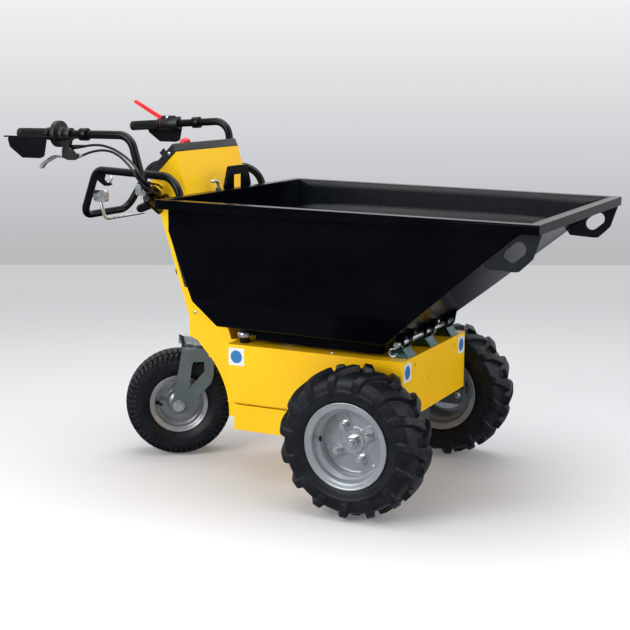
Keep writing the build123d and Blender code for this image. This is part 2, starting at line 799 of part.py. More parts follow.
# ---------------------------------------------------------------- handlebars
# rear end, rear bend, lower bend and the end inside the column; forward of the axle, y, height
bars = {
    "right": (-1, ((-bar_rear, bar_half, bar_height - 1), (-722, bar_half, bar_height + 1),
                   (-683, bar_half, 850), (-700, column_half - 12, 789))),
    "left": (1, ((-bar_rear, bar_half, 984), (-745, bar_half, 1006),
                 (-727, bar_half, 850), (-700, column_half - 12, 789))),
}
bend = 48.0
for name, (side, points) in bars.items():
    path_points = [(axle_x + x, side * y, z) for x, y, z in points]
    with BuildPart() as handlebar:
        with BuildLine() as path:
            FilletPolyline(*path_points, radius=[bend, bend])
        start = Vector(*path_points[1]) - Vector(*path_points[0])
        with BuildSketch(Plane(origin=path_points[0], z_dir=start)):
            Circle(bar_radius)
        sweep(path=path.line)
        split(bisect_by=side_plane(side * column_half), keep=Keep.TOP if side < 0 else Keep.BOTTOM)
    save(f"handlebar_{name}", handlebar.part)

    with BuildPart() as grip:
        with BuildSketch(Plane(origin=path_points[0], z_dir=start)):
            Circle(grip_radius)
            Circle(bar_radius + run_gap, mode=Mode.SUBTRACT)
        extrude(amount=grip_length)
        with BuildSketch(Plane(origin=path_points[0], z_dir=start)):
            Circle(grip_radius)
        extrude(amount=-4)
    save(f"grip_{name}", grip.part)

# ---------------------------------------------------------------- guard loop
loop_half = [(-612, 165, 768), (-589, 238, 792), (-600, 238, 868), (-942, 150, 873), (-1020, 116, 729)]
loop_points = ([(axle_x + x, -y, z) for x, y, z in loop_half]
               + [(axle_x + x, y, z) for x, y, z in loop_half[::-1]])
loop_bends = [20.0, 70.0, 50.0, 48.0]
with BuildPart() as guard_loop:
    with BuildLine() as path:
        FilletPolyline(*loop_points, radius=loop_bends + loop_bends[::-1])
    start = Vector(*loop_points[1]) - Vector(*loop_points[0])
    with BuildSketch(Plane(origin=loop_points[0], z_dir=start)):
        Circle(loop_radius)
    sweep(path=path.line)
    with BuildSketch(side_plane(0)):
        with BuildLine():
            Polyline(*side_points((-700, 700), (-520, 700), (-520, 850), (-700, 850)), close=True)
        make_face()
    extrude(amount=column_half, both=True, mode=Mode.SUBTRACT)
save("guard_loop", guard_loop.part)

# ---------------------------------------------------------------- bar fittings
def bar_point(name, index):
    return Vector(*[(axle_x + x, bars[name][0] * y, z) for x, y, z in bars[name][1]][index])


collar_width = 24.0
collar_radius = 20.0
stub_radius = 13.0
for name, (side, points) in bars.items():
    low, foot = bar_point(name, 2), bar_point(name, 3)
    slope = (low - foot).normalized()
    collar_start = low - slope * 62
    with BuildPart() as socket:
        with BuildSketch(Plane(origin=collar_start, z_dir=slope * -1)):
            Circle(collar_radius)
        extrude(amount=collar_width)
        # stub that the collar is clamped to, out of the column's side
        with BuildSketch(Plane(origin=foot - Vector(6, 0, 27), z_dir=slope)):
            Circle(stub_radius)
        extrude(amount=(low - foot).length - 36)
        fillet(socket.faces().sort_by(Axis(foot, slope))[-1].edges().filter_by(GeomType.CIRCLE), 5)
        with BuildSketch(Plane(origin=foot, z_dir=slope)):
            Circle(bar_radius + run_gap)
        extrude(amount=200, mode=Mode.SUBTRACT)
        split(bisect_by=side_plane(side * column_half), keep=Keep.TOP if side < 0 else Keep.BOTTOM)
    save(f"bar_socket_{name}", socket.part)


def along_bar(name, distance):
    """A plane square to the straight part of a handlebar, this far from its rear end."""
    rear, front = bar_point(name, 0), bar_point(name, 1)
    forward = (front - rear).normalized()
    return Plane(origin=rear + forward * distance, x_dir=(0, 1, 0), z_dir=forward)


throttle_at = 134.0
with BuildPart() as throttle_control:
    with BuildSketch(along_bar("right", throttle_at)):
        Circle(38)
        Circle(bar_radius + run_gap, mode=Mode.SUBTRACT)
    extrude(amount=14)
    with BuildSketch(along_bar("right", throttle_at + 14)):
        Circle(20)
        Circle(bar_radius + run_gap, mode=Mode.SUBTRACT)
    extrude(amount=14)
save("throttle_control", throttle_control.part)

lever_thick = 14.0
lever_clamp = 164.0
with BuildPart() as brake_lever:
    with BuildSketch(along_bar("right", lever_clamp)):
        Circle(18)
    extrude(amount=22)
    with BuildSketch(side_plane(-bar_half + lever_thick / 2)):
        with BuildLine():
            Polyline(*side_points((-944, bar_height - 14), (-924, bar_height - 14), (-932, 946), (-916, 931),
                                  (-902, 927), (-902, 918), (-917, 910), (-936, 910), (-950, 915),
                                  (-981, 916), (-1018, 898), (-1034, 882), (-1040, 885), (-1034, 897),
                                  (-999, 918), (-985, 923), (-957, 922), (-956, 938)), close=True)
        make_face()
    extrude(amount=lever_thick)
    with BuildSketch(along_bar("right", lever_clamp - 5)):
        Circle(bar_radius + run_gap)
    extrude(amount=40, mode=Mode.SUBTRACT)
save("brake_lever", brake_lever.part)

blade_thick = 8.0
with BuildPart() as dead_man_lever:
    with BuildSketch(along_bar("left", 116)):
        Circle(19)
        with Locations((0, 14)):
            Rectangle(26, 16)
    extrude(amount=66)
    with BuildSketch(side_plane(bar_half + blade_thick / 2)):
        with BuildLine():
            Polyline(*side_points((-940, 1020), (-997, 1019), (-1091, 1068), (-1100, 1067), (-1100, 1060),
                                  (-1006, 1009), (-988, 1004), (-960, 1003)), close=True)
        make_face()
    extrude(amount=blade_thick)
    with BuildSketch(along_bar("left", 100)):
        Circle(bar_radius + run_gap)
    extrude(amount=120, mode=Mode.SUBTRACT)
save("dead_man_lever", dead_man_lever.part)

guard_blade = ((-1112, 0), (-969, 0), (-981, -56), (-995, -62), (-1058, -62), (-1102, -32))
guard_out = 346.0
guard_in = 330.0
guard_sheet = 4.0
guard_drop = 10.0  # the sheet lies this far under the bar's middle
guard_shift = {"right": 0.0, "left": 19.0}
guard_front = -865.0
arm_start = -891.0
for name, (side, points) in bars.items():
    shift = guard_shift[name]
    rear, front = points[0], points[1]
    arm_height = rear[2] + (front[2] - rear[2]) * (arm_start + shift + bar_rear + 12) / (front[0] - rear[0])
    level = arm_height - guard_drop
    with BuildPart() as guard:
        with BuildSketch(Plane.XY.offset(level)):
            with BuildLine():
                Polyline(*[(axle_x + x + shift, side * y) for x, y in (
                    (-rear_reach, guard_out), (guard_front, guard_out), (guard_front, bar_half),
                    (arm_start, bar_half), (arm_start, guard_in), (-rear_reach, guard_in))], close=True)
            make_face()
        extrude(amount=guard_sheet)
        with BuildSketch(side_plane(side * guard_out)):
            with BuildLine():
                blade = [(axle_x + x + shift, level + guard_sheet + z) for x, z in guard_blade]
                Polyline(*blade, close=True)
            make_face()
            fillet(vertices().group_by(Axis.Z)[0], 10)
        extrude(amount=side * guard_sheet)
        with BuildSketch(along_bar(name, arm_start + shift + bar_rear)):
            Circle(18)
        extrude(amount=24)
        with BuildSketch(along_bar(name, arm_start + shift + bar_rear - 20)):
            Circle(bar_radius + run_gap)
        extrude(amount=90, mode=Mode.SUBTRACT)
    save(f"hand_guard_{name}", guard.part)

# ---------------------------------------------------------------- guard loop fittings
bail_radius = 5.0
bail_ahead = -945.0
bail_lean = 21.0  # the bail's ends lie this far behind its lower run
bail_half = 110.0
bail_top = loop_half[3][2] - 67
bail_low = loop_half[4][2] - 8


def bail_points(side):
    """Lower corner and upper end of one leg of the bail."""
    return space_points((bail_ahead, side * bail_half, bail_low),
                        (bail_ahead - bail_lean, side * bail_half, bail_top))


with BuildPart() as release_bail:
    (right_low, right_end), (left_low, left_end) = bail_points(-1), bail_points(1)
    with BuildLine() as path:
        FilletPolyline(right_end, right_low, left_low, left_end, radius=[18, 18])
    with BuildSketch(Plane(origin=right_end, z_dir=Vector(*right_low) - Vector(*right_end))):
        Circle(bail_radius)
    sweep(path=path.line)
save("release_bail", release_bail.part)

saddle_ahead = -956.0
saddle_height = bail_top - 15
saddle_width = 45.0
saddle_depth = 36.0
saddle_thick = 16.0
arm_thick = 14.0
leg_bottom, leg_top = [(z, x, y) for x, y, z in (loop_half[4], loop_half[3])]
_, leg_x, leg_half = between(leg_bottom, leg_top, saddle_height)
with BuildPart() as bail_clamps:
    for side in (-1, 1):
        face = side_plane(side * (bail_half + saddle_thick / 2))
        with BuildSketch(face):
            with Locations((axle_x + saddle_ahead, saddle_height)):
                RectangleRounded(saddle_width, saddle_depth, 9)
        extrude(amount=side * saddle_thick)
        with BuildSketch(face):
            with Locations((axle_x + saddle_ahead, saddle_height + 6)):
                RegularPolygon(8, 6)
        extrude(amount=-side * 6)
        # arm from the saddle to the loop's leg
        with BuildSketch(Plane.XY.offset(saddle_height - arm_thick / 2)):
            with BuildLine():
                Polyline(*[(axle_x + x, side * y) for x, y in (
                    (leg_x - 8, leg_half), (leg_x + 8, leg_half), (saddle_ahead + 10, bail_half),
                    (saddle_ahead - 10, bail_half))], close=True)
            make_face()
        extrude(amount=arm_thick)
        leg = space_points(*[(x, side * y, z) for x, y, z in loop_half[3:5]])
        tube_top, tube_low = [Vector(*point) for point in leg]
        with BuildSketch(Plane(origin=tube_top, z_dir=tube_low - tube_top)):
            Circle(loop_radius + seat_gap)
        extrude(amount=(tube_low - tube_top).length, mode=Mode.SUBTRACT)
        low, end = [Vector(*point) for point in bail_points(side)]
        with BuildSketch(Plane(origin=low, z_dir=end - low)):
            Circle(bail_radius + run_gap)
        extrude(amount=(end - low).length, mode=Mode.SUBTRACT)
save("bail_clamps", bail_clamps.part)

# ---------------------------------------------------------------- catch strip on the column
strip_top = 675.0
strip_length = 128.0
strip_foot = strip_top - strip_length
strip_inset = 16.0  # from the column's rear edge
strip_width = 28.0
strip_thick = 5.0
strip_bolts = (strip_top - strip_length * 0.12, strip_top - strip_length * 0.86)
with BuildPart() as catch_strip:
    with BuildSketch(side_plane(-column_half)):
        with BuildLine():
            Polyline(*side_points((rear_edge(strip_top) + strip_inset, strip_top),
                                  (rear_edge(strip_top) + strip_inset + strip_width, strip_top),
                                  (rear_edge(strip_foot) + strip_inset + strip_width, strip_foot),
                                  (rear_edge(strip_foot) + strip_inset, strip_foot)), close=True)
        make_face()
    extrude(amount=strip_thick)
    for z in strip_bolts:
        with BuildSketch(side_plane(-column_half - strip_thick)):
            with Locations((axle_x + rear_edge(z) + strip_inset + strip_width / 2, z)):
                RegularPolygon(8, 6)
        extrude(amount=5)
save("catch_strip", catch_strip.part)

# ---------------------------------------------------------------- cables
cable_radius = 3.5
# throttle and brake cables of the right bar, then the lever's cable along the left one
cables = (
    space_points((-940, -276, 944), (-892, -278, 949), (-860, -281, 954), (-823, -284, 955),
                 (-782, -290, 947), (-744, -297, 932), (-712, -303, 914), (-689, -307, 893),
                 (-675, -307, 870), (-669, -290, 853), (-670, -258, 849), (-677, -222, 844),
                 (-690, -190, 836), (-700, -165, 826)),
    space_points((-897, -284, 922), (-862, -281, 935), (-823, -284, 941), (-788, -289, 939),
                 (-754, -296, 927), (-727, -302, 910), (-704, -306, 890), (-688, -307, 866),
                 (-674, -292, 842), (-669, -262, 828), (-665, -222, 811), (-678, -190, 801),
                 (-686, -165, 792)),
    space_points((-926, 282, 1018), (-888, 281, 1021), (-840, 283, 1024), (-790, 288, 1026),
                 (-745, 292, 1022), (-716, 294, 1000), (-706, 294, 962), (-704, 294, 915),
                 (-704, 292, 880)),
)
with BuildPart() as control_cables:
    for points in cables:
        radii = []
        for a, b, c in zip(points, points[1:], points[2:]):
            first, second = Vector(*b) - Vector(*a), Vector(*c) - Vector(*b)
            turn = radians(first.get_angle(second))
            radii.append(0.45 * min(first.length, second.length) / tan(turn / 2))
        print("cable bend radii", [round(r) for r in radii])
        with BuildLine() as path:
            FilletPolyline(*points, radius=radii)
        with BuildSketch(Plane(origin=points[0], z_dir=path.line % 0)):
            Circle(cable_radius)
        sweep(path=path.line)
    split(bisect_by=side_plane(-column_half), keep=Keep.TOP)
save("control_cables", control_cables.part)
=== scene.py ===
import json
import math
import bmesh
import bpy
import numpy as np
from mathutils import Euler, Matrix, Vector


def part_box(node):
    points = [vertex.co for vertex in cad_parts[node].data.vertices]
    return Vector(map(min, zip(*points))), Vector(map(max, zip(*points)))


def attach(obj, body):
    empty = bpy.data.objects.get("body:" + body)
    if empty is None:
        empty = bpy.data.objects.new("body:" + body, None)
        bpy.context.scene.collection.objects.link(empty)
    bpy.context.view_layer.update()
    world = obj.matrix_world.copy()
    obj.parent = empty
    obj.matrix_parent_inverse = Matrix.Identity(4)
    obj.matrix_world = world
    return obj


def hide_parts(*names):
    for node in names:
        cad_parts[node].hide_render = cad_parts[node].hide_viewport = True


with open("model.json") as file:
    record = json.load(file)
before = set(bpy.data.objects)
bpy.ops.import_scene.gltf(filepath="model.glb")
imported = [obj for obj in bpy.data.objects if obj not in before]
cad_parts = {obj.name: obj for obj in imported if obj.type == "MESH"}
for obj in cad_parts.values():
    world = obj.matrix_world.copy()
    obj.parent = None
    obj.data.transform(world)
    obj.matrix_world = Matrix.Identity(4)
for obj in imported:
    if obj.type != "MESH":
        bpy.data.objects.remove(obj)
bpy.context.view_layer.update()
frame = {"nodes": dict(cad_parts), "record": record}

nodes = frame["nodes"]
mm = 0.001          # millimetres to metres
print("frame loaded with", len(nodes), "nodes")


# colours: each sRGB byte over 255 becomes linear by the 2.4 power curve with its straight foot
def hexToLinear(hexValue):
    parts = [int(hexValue[start:start + 2], 16) / 255 for start in (1, 3, 5)]
    return [c / 12.92 if c <= 0.04045 else ((c + 0.055) / 1.055) ** 2.4 for c in parts] + [1.0]


# adds one node; settings name its properties or inputs, links name inputs and what feeds them
def addNode(tree, kind, settings=None, links=None):
    made = tree.nodes.new("ShaderNode" + kind)
    for key, value in (settings or {}).items():
        if isinstance(key, str) and hasattr(made, key):
            setattr(made, key, value)
        else:
            made.inputs[key].default_value = value
    for key, source in (links or {}).items():
        tree.links.new(source, made.inputs[key])
    return made


def startMaterial(name, settings):
    material = bpy.data.materials.new(name)
    material.use_nodes = True
    shader = material.node_tree.nodes["Principled BSDF"]
    for key, value in settings.items():
        shader.inputs[key].default_value = value
    return material, material.node_tree, shader


cloudEnds = (0.36, 0.64)          # noise values that show the shade and the colour in full


# a colour that wanders between two shades as a noise of this size goes over the surface
def cloudedColour(tree, coords, size, shade, colour, detail=3.0):
    cloud = addNode(tree, "TexNoise", {"Scale": 1 / (size * mm), "Detail": detail}, {"Vector": coords})
    ramp = addNode(tree, "ValToRGB", links={"Fac": cloud.outputs["Fac"]})
    for element, place, tint in zip(ramp.color_ramp.elements, cloudEnds, (shade, colour)):
        element.position = place
        element.color = hexToLinear(tint)
    return cloud, ramp


# paint, metal, rubber or plastic: clouded colour, roughness that follows it, and a fine skin in the bump;
# cloudSize, skinSize and skinDepth are in millimetres
def finish(name, colour, shade, roughness, spread=0.06, cloudSize=60.0, skinSize=2.0, skin=0.1,
           skinDepth=0.2, detail=3.0, **sockets):
    settings = {key.replace("_", " "): value for key, value in sockets.items()}
    material, tree, shader = startMaterial(name, settings)
    coords = addNode(tree, "TexCoord").outputs["Object"]
    cloud, ramp = cloudedColour(tree, coords, cloudSize, shade, colour, detail=detail)
    rough = addNode(tree, "MapRange", {"To Min": roughness - spread, "To Max": roughness + spread},
                    {"Value": cloud.outputs["Fac"]})
    grain = addNode(tree, "TexNoise", {"Scale": 1 / (skinSize * mm), "Detail": 2.0}, {"Vector": coords})
    bump = addNode(tree, "Bump", {"Strength": skin, "Distance": skinDepth * mm},
                   {"Height": grain.outputs["Fac"]})
    tree.links.new(ramp.outputs["Color"], shader.inputs["Base Color"])
    tree.links.new(rough.outputs["Result"], shader.inputs["Roughness"])
    tree.links.new(bump.outputs["Normal"], shader.inputs["Normal"])
    return material


# two finishes on one CAD node, parted at a place on one axis (metres): the second lies beyond it, and they
# blend over soft millimetres to either side
def partedFinish(name, first, second, axis, place, soft=0.4, cloudSize=12.0):
    material = first.copy()
    material.name = name
    tree = material.node_tree
    shader = tree.nodes["Principled BSDF"]
    coords = addNode(tree, "TexCoord").outputs["Object"]
    apart = addNode(tree, "SeparateXYZ", links={"Vector": coords})
    side = addNode(tree, "MapRange", {"From Min": place - soft * mm, "From Max": place + soft * mm},
                   {"Value": apart.outputs[axis]})
    plain = {key: value for key, value in second.items() if key != "Base Color"}
    other = addNode(tree, "BsdfPrincipled", plain)
    _, ramp = cloudedColour(tree, coords, cloudSize, *second["Base Color"])
    tree.links.new(ramp.outputs["Color"], other.inputs["Base Color"])
    mix = addNode(tree, "MixShader",
                  links={0: side.outputs["Result"], 1: shader.outputs[0], 2: other.outputs[0]})
    tree.links.new(mix.outputs[0], tree.nodes["Material Output"].inputs["Surface"])
    return material


# powder coat over folded sheet steel: an even saturated skin, its fine orange peel softening the highlights
yellowCoat = finish("yellowPowderCoatedSteel", "#FFCA12", "#FFC40E", 0.36, 0.05, 220.0, 2.2, 0.05, 0.3,
                    Specular_IOR_Level=0.2, Coat_Weight=0.1, Coat_Roughness=0.12)
# stoved enamel over welded plate: near black and glossy, so that edges and slopes carry the reflections
tubEnamel = finish("blackEnamelledSteelPlate", "#05070D", "#030409", 0.2, 0.04, 180.0, 5.0, 0.03, 0.3,
                   Specular_IOR_Level=0.05)
# satin coat over bent tube: a soft line of light along each bend
blackCoat = finish("blackCoatedSteelTube", "#080A0D", "#05060A", 0.26, 0.05, 90.0, 1.8, 0.06,
                   Specular_IOR_Level=0.2)
# lifting ears: black enamel painted lighter as a painted highlight for their slope; a little duller than the
# tub
earPaintedLighterCoat = finish("blackEnamelPaintedLighterOnEars", "#131B20", "#0F161A", 0.36, 0.05, 60.0, 2.4, 0.08,
                 Specular_IOR_Level=0.3)
# textured grey powder coat on the castor's pressed fork
forkCoat = finish("greyPowderCoatedPressing", "#586669", "#505C60", 0.4, 0.05, 70.0, 1.5, 0.12)
# silver lacquer over the pressed rims: a paint with metal flake in it, so part metal
rimLacquer = finish("silverLacquerOnPressedRim", "#A0A6AB", "#90969B", 0.3, 0.05, 80.0, 1.2, 0.04,
                    Metallic=0.4, Coat_Weight=0.3, Coat_Roughness=0.15)
# galvanised castor rim: brighter metal, its rolled flange catching the light round a dark dish
castorZinc = finish("galvanisedCastorRim", "#B9BDC0", "#A4A9AD", 0.3, 0.05, 30.0, 1.2, 0.05, Metallic=0.7)
# dark casting paint over the axle's tube and gearbox, a bluish grey
axlePaint = finish("greyPaintedAxleCasting", "#4A5259", "#3C444A", 0.45, 0.06, 30.0, 2.6, 0.25)
# black primer over plain steel: dull, with a coarse skin
darkSteel = finish("blackPrimedSteel", "#24282B", "#1A1D20", 0.5, 0.06, 25.0, 2.6, 0.3)
# bright zinc plate: a faintly cloudy passivation on a bright metal
brightZinc = finish("brightZincPlatedSteel", "#DDE1E4", "#C4CACE", 0.28, 0.04, 16.0, 1.6, 0.015,
                    Metallic=0.9)
# blue passivated zinc on the folded hinge brackets: teal, cooler and clearer, darkened as a painted
# reflection
blueZincPaintedDarker = finish("bluePassivatedZincPaintedDarker", "#4C6973", "#2F4A53", 0.2, 0.05, 14.0, 2.2, 0.03,
                  Metallic=1.0)
# moulded tyre rubber: dull, with dust in its clouds and a fine pebbled skin; blue-black as a painted sheen
tyreRubberPaintedSheen = finish("mouldedTyreRubberWithPaintedSheen", "#171C22", "#0C0F13", 0.44, 0.08, 26.0, 1.6, 0.25, detail=6.0,
                    Specular_IOR_Level=0.25)
gripRubber = finish("mouldedGripRubber", "#0A0B0D", "#060709", 0.5, 0.06, 12.0, 1.0, 0.2,
                    Specular_IOR_Level=0.3)
cableJacket = finish("extrudedCableJacket", "#090A0C", "#060709", 0.32, 0.04, 20.0, 1.4, 0.05)
# black mouldings: an even satin plastic, softer in the light than the coated tube
blackNylon = finish("blackMouldedNylon", "#0E0F12", "#0A0B0D", 0.42, 0.06, 20.0, 0.9, 0.12)
redNylon = finish("redMouldedNylon", "#EE2430", "#DA1822", 0.3, 0.05, 24.0, 1.2, 0.05)
castAluminium = finish("tumbledCastAluminium", "#B4B8BC", "#9EA3A8", 0.4, 0.05, 14.0, 1.2, 0.04,
                       Metallic=0.7)
# second finishes: black mouldings in front of the levers' blades, painted reflection on the tub's far wall
moulding = {"Base Color": ("#0A0B0D", "#0E0F12"), "Roughness": 0.42}
farWallPaintedSheen = {"Base Color": ("#0B0F13", "#141A20"), "Roughness": 0.3, "Specular IOR Level": 0.2}
hubLow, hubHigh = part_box("hub_right")
axleX = (hubLow[0] + hubHigh[0]) / 2          # the drive axle's place along the machine
# where each pair of finishes parts, in metres, and over how many millimetres the painted reflection fades
partings = {"brakeBlade": axleX - 955 * mm, "deadManBlade": axleX - 992 * mm, "farWall": 300 * mm,
            "paintedSheenFade": 60.0}
brakeBlade = partedFinish("aluminiumBladeInBlackBracket", castAluminium, moulding, "X",
                          partings["brakeBlade"])
# painted reflection: the enamel turns lighter beyond the far wall's parting
enamelWithPaintedSheen = partedFinish("enamelWithPaintedSheenInsideTub", tubEnamel, farWallPaintedSheen, "Y", partings["farWall"],
                           partings["paintedSheenFade"])
deadManBlade = partedFinish("redBladeInBlackHousing", redNylon, moulding, "X", partings["deadManBlade"])
print("materials made")

# the CAD nodes that wear each finish
finishes = {
    yellowCoat: ["chassis_cover", "lower_pan", "column_shell", "castor_mount", "chassis_frame"],
    enamelWithPaintedSheen: ["tub_shell"],
    tubEnamel: ["tub_rim", "lift_plate", "hinge_lugs", "tub_runners"],
    axlePaint: ["drive_axle"],
    earPaintedLighterCoat: ["tub_ears"],
    blackCoat: ["handlebar_right", "handlebar_left", "guard_loop", "bar_socket_right", "bar_socket_left",
                "hand_guard_right", "hand_guard_left"],
    brakeBlade: ["brake_lever"],
    deadManBlade: ["dead_man_lever"],
    forkCoat: ["castor_fork"],
    darkSteel: ["catch_strip"],
    brightZinc: ["hinge_rod", "castor_bearing", "castor_axle", "release_bail", "bail_clamps",
                 "hub_right", "hub_left"],
    blueZincPaintedDarker: ["hinge_brackets"],
    gripRubber: ["tub_buffers"],
    cableJacket: ["control_cables"],
    blackNylon: ["console_lid", "charging_dome", "throttle_control", "battery_block", "key_switch"],
    redNylon: ["emergency_stop"],
}
# width in millimetres of the rounded edges, then what holds for every node: the width where it isn't named,
# the least corner that counts as an edge in degrees, and the distance that welds points
edgeRadius = {"tub_shell": 2.5, "tub_rim": 1.8, "chassis_cover": 2.0, "column_shell": 3.0,
              "console_lid": 3.0, "lower_pan": 1.5, "tub_ears": 1.2, "castor_fork": 1.2}
edgeRule = {"usual": 0.8, "segments": 2, "angle": 28, "weld": 0.02}

for material, names in finishes.items():
    for name in names:
        piece = nodes[name]
        piece.data.materials.clear()
        piece.data.materials.append(material)
        weld = piece.modifiers.new("mergedCorners", "WELD")
        weld.merge_threshold = edgeRule["weld"] * mm
        bevel = piece.modifiers.new("roundedEdges", "BEVEL")
        bevel.width = edgeRadius.get(name, edgeRule["usual"]) * mm
        bevel.segments = edgeRule["segments"]
        bevel.limit_method = "ANGLE"
        bevel.angle_limit = math.radians(edgeRule["angle"])
        bevel.harden_normals = True
print("finishes given to the CAD nodes")


def unit(vector):
    return np.asarray(vector, float) / np.linalg.norm(vector)


# points of a grid joined into quads; the columns run round to their start, and so may the rows
def gridFaces(rows, columns, closedRows=False):
    row = np.arange(rows if closedRows else rows - 1)[:, None]
    column = np.arange(columns)[None, :]
    nextRow, nextColumn = (row + 1) % rows, (column + 1) % columns
    corners = [row * columns + column, row * columns + nextColumn,
               nextRow * columns + nextColumn, nextRow * columns + column]
    return np.stack(corners, axis=-1).reshape(-1, 4).tolist()


# turned surface: every (along, radius) of the profile goes round the axis in equal steps
def turned(profile, centre, axis, steps):
    axis = unit(axis)
    across = unit(np.cross(axis, (0, 0, 1)) if abs(axis[2]) < 0.9 else np.cross(axis, (0, 1, 0)))
    angle = np.linspace(0, 2 * np.pi, steps, endpoint=False)[:, None]
    ring = np.cos(angle) * across + np.sin(angle) * np.cross(across, axis)
    profile = np.asarray(profile, float)[:, None] * mm
    return centre + profile[..., :1] * axis + profile[..., 1:] * ring, gridFaces(len(profile), steps)


# turned ring: the same from a closed profile that stays off the axis
def turnedRing(profile, centre, axis, steps):
    return turned(profile, centre, axis, steps)[0], gridFaces(len(profile), steps, closedRows=True)


# flat plate: its outline, given by two plane directions, carried through its thickness
def plate(outline, origin, across, up, thickness):
    across, up, outline = unit(across), unit(up), np.asarray(outline, float)
    face = origin + outline[:, :1] * mm * across + outline[:, 1:] * mm * up
    back = face + np.cross(across, up) * thickness * mm
    count = len(outline)
    sides = gridFaces(2, count)
    return np.stack([face, back]), sides + [list(range(count))] + [list(range(count, 2 * count))]


# tube: a ring of the given radius carried along a path, each ring square to the path there
def tubeAlong(path, radius, steps):
    ahead = np.gradient(path, axis=0)
    ahead /= np.linalg.norm(ahead, axis=1, keepdims=True)
    guide = np.where(np.abs(ahead[:, 2:]) < 0.9, [[0.0, 0.0, 1.0]], [[1.0, 0.0, 0.0]])
    across = np.cross(ahead, guide)
    across /= np.linalg.norm(across, axis=1, keepdims=True)
    up = np.cross(across, ahead)
    angle = np.linspace(0, 2 * np.pi, steps, endpoint=False)[None, :, None]
    reach = np.full(len(path), radius * mm)
    reach[0] = reach[-1] = 0.0
    ring = np.cos(angle) * across[:, None] + np.sin(angle) * up[:, None]
    return path[:, None] + reach[:, None, None] * ring, gridFaces(len(path), steps)


# corner cutting: each pass puts two points a quarter in from the ends of every run
def rounded(points, passes, closed=False):
    points = np.asarray(points, float)
    for _ in range(passes):
        after = np.roll(points, -1, axis=0) if closed else points[1:]
        before = points if closed else points[:-1]
        cut = np.stack([0.75 * before + 0.25 * after, 0.25 * before + 0.75 * after], axis=1)
        cut = cut.reshape(-1, points.shape[1])
        points = cut if closed else np.concatenate([points[:1], cut, points[-1:]])
    return points


# points spread evenly by length along a line of points
def evenly(points, count):
    points = np.asarray(points, float)
    gone = np.concatenate([[0], np.cumsum(np.linalg.norm(np.diff(points, axis=0), axis=1))])
    places = np.linspace(0, gone[-1], count)
    return np.stack([np.interp(places, gone, points[:, i]) for i in range(points.shape[1])], axis=1)


# 0 below low, 1 above high, an S-shaped rise between them
def easeIn(low, high, value):
    share = np.clip((value - low) / (high - low), 0, 1)
    return share * share * (3 - 2 * share)


mergeDistance = 0.005          # doubled points of a piece become one within this, in millimetres


# one finished piece from one or more surfaces: doubles merged, faces turned outwards, riding on its body
def makePiece(name, surfaces, material, body, sharp=35):
    points, faces, count = [], [], 0
    for surface, surfaceFaces in surfaces:
        surface = np.asarray(surface).reshape(-1, 3)
        points.append(surface)
        faces += [[index + count for index in face] for face in surfaceFaces]
        count += len(surface)
    mesh = bpy.data.meshes.new(name)
    mesh.from_pydata(np.concatenate(points).tolist(), [], faces)
    work = bmesh.new()
    work.from_mesh(mesh)
    bmesh.ops.remove_doubles(work, verts=work.verts, dist=mergeDistance * mm)
    bmesh.ops.recalc_face_normals(work, faces=work.faces)
    work.to_mesh(mesh)
    work.free()
    mesh.shade_smooth()
    mesh.set_sharp_from_angle(angle=math.radians(sharp))
    mesh.materials.append(material)
    piece = bpy.data.objects.new(name, mesh)
    bpy.context.collection.objects.link(piece)
    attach(piece, body)
    return piece


def middleOf(node):
    low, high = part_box(node)
    return (np.array(low) + np.array(high)) / 2


# a point forward of the drive axle, to the machine's left and above the ground, in millimetres
def at(x, y, z):
    return np.array([axleX + x * mm, y * mm, z * mm])


# one half of each tyre section, bead to mid tread: (out, radius) of the carcass, then of the blocks' tops
driveTyre = {
    "section": [(60, 102, 60, 102), (62.8, 117.9, 62.8, 117.9), (66, 121, 66, 121), (68.6, 128, 68.6, 128),
                (71, 140, 71, 140), (73.2, 143, 73.2, 143), (73.4, 147, 73.4, 147),
                (71.4, 149.5, 71.8, 149.5), (71.2, 154, 74.6, 153), (70.6, 162, 74.8, 161),
                (68.2, 171, 74.8, 172), (64, 178, 72.8, 184), (56, 183, 66.5, 192.6), (46, 186, 52, 199),
                (36, 188, 38, 202.6), (20, 189.6, 20, 204.2), (0, 190, 0, 205)],
    "rows": 46, "columns": 48, "blocks": 15, "reach": 205, "blockWidth": 24.0, "flank": 5.0,
    "innerEnd": (-9, -3), "lag": 52.0, "lagOver": 80,
}
castorTyre = {
    "section": [(44, 76.5, 44, 76.5), (45.3, 88.3, 45.3, 88.3), (49, 91, 49, 91), (54, 99, 54, 99),
                (58.6, 108, 58.6, 108), (60.4, 113, 60.4, 113), (60.2, 116, 60.2, 116),
                (61.6, 120, 61.6, 120), (62, 130, 62, 130), (58.4, 137, 60.6, 137.6),
                (53.6, 143.6, 59.4, 147), (47, 148.6, 52.8, 154.2), (36, 153, 39, 158.8),
                (18, 156.2, 18, 161.4), (0, 157, 0, 162)],
    "rows": 44, "columns": 12, "blocks": 56, "reach": 162, "rowWidth": 20.0, "slant": 0.28,
    "grooves": (14, 36), "grooveWall": (0.8, 2.6), "slitWall": (1.2, 3.6), "shoulder": (44, 48),
    "lag": 0.0, "lagOver": 80,
}


# lug cover: 1 on a lug, 0 between; the halves of the tread sit half a pitch apart and overlap at the middle
def lugCover(out, around, size):
    pitch = 2 * np.pi * size["reach"] / size["blocks"]
    cover = np.zeros_like(around)
    for half, offset in ((1, 0.0), (-1, pitch / 2)):
        apart = np.abs((around + offset + pitch / 2) % pitch - pitch / 2)
        flank = easeIn(size["blockWidth"] / 2 + size["flank"], size["blockWidth"] / 2 - 1, apart)
        cover = np.maximum(cover, flank * easeIn(*size["innerEnd"], half * out))
    return cover


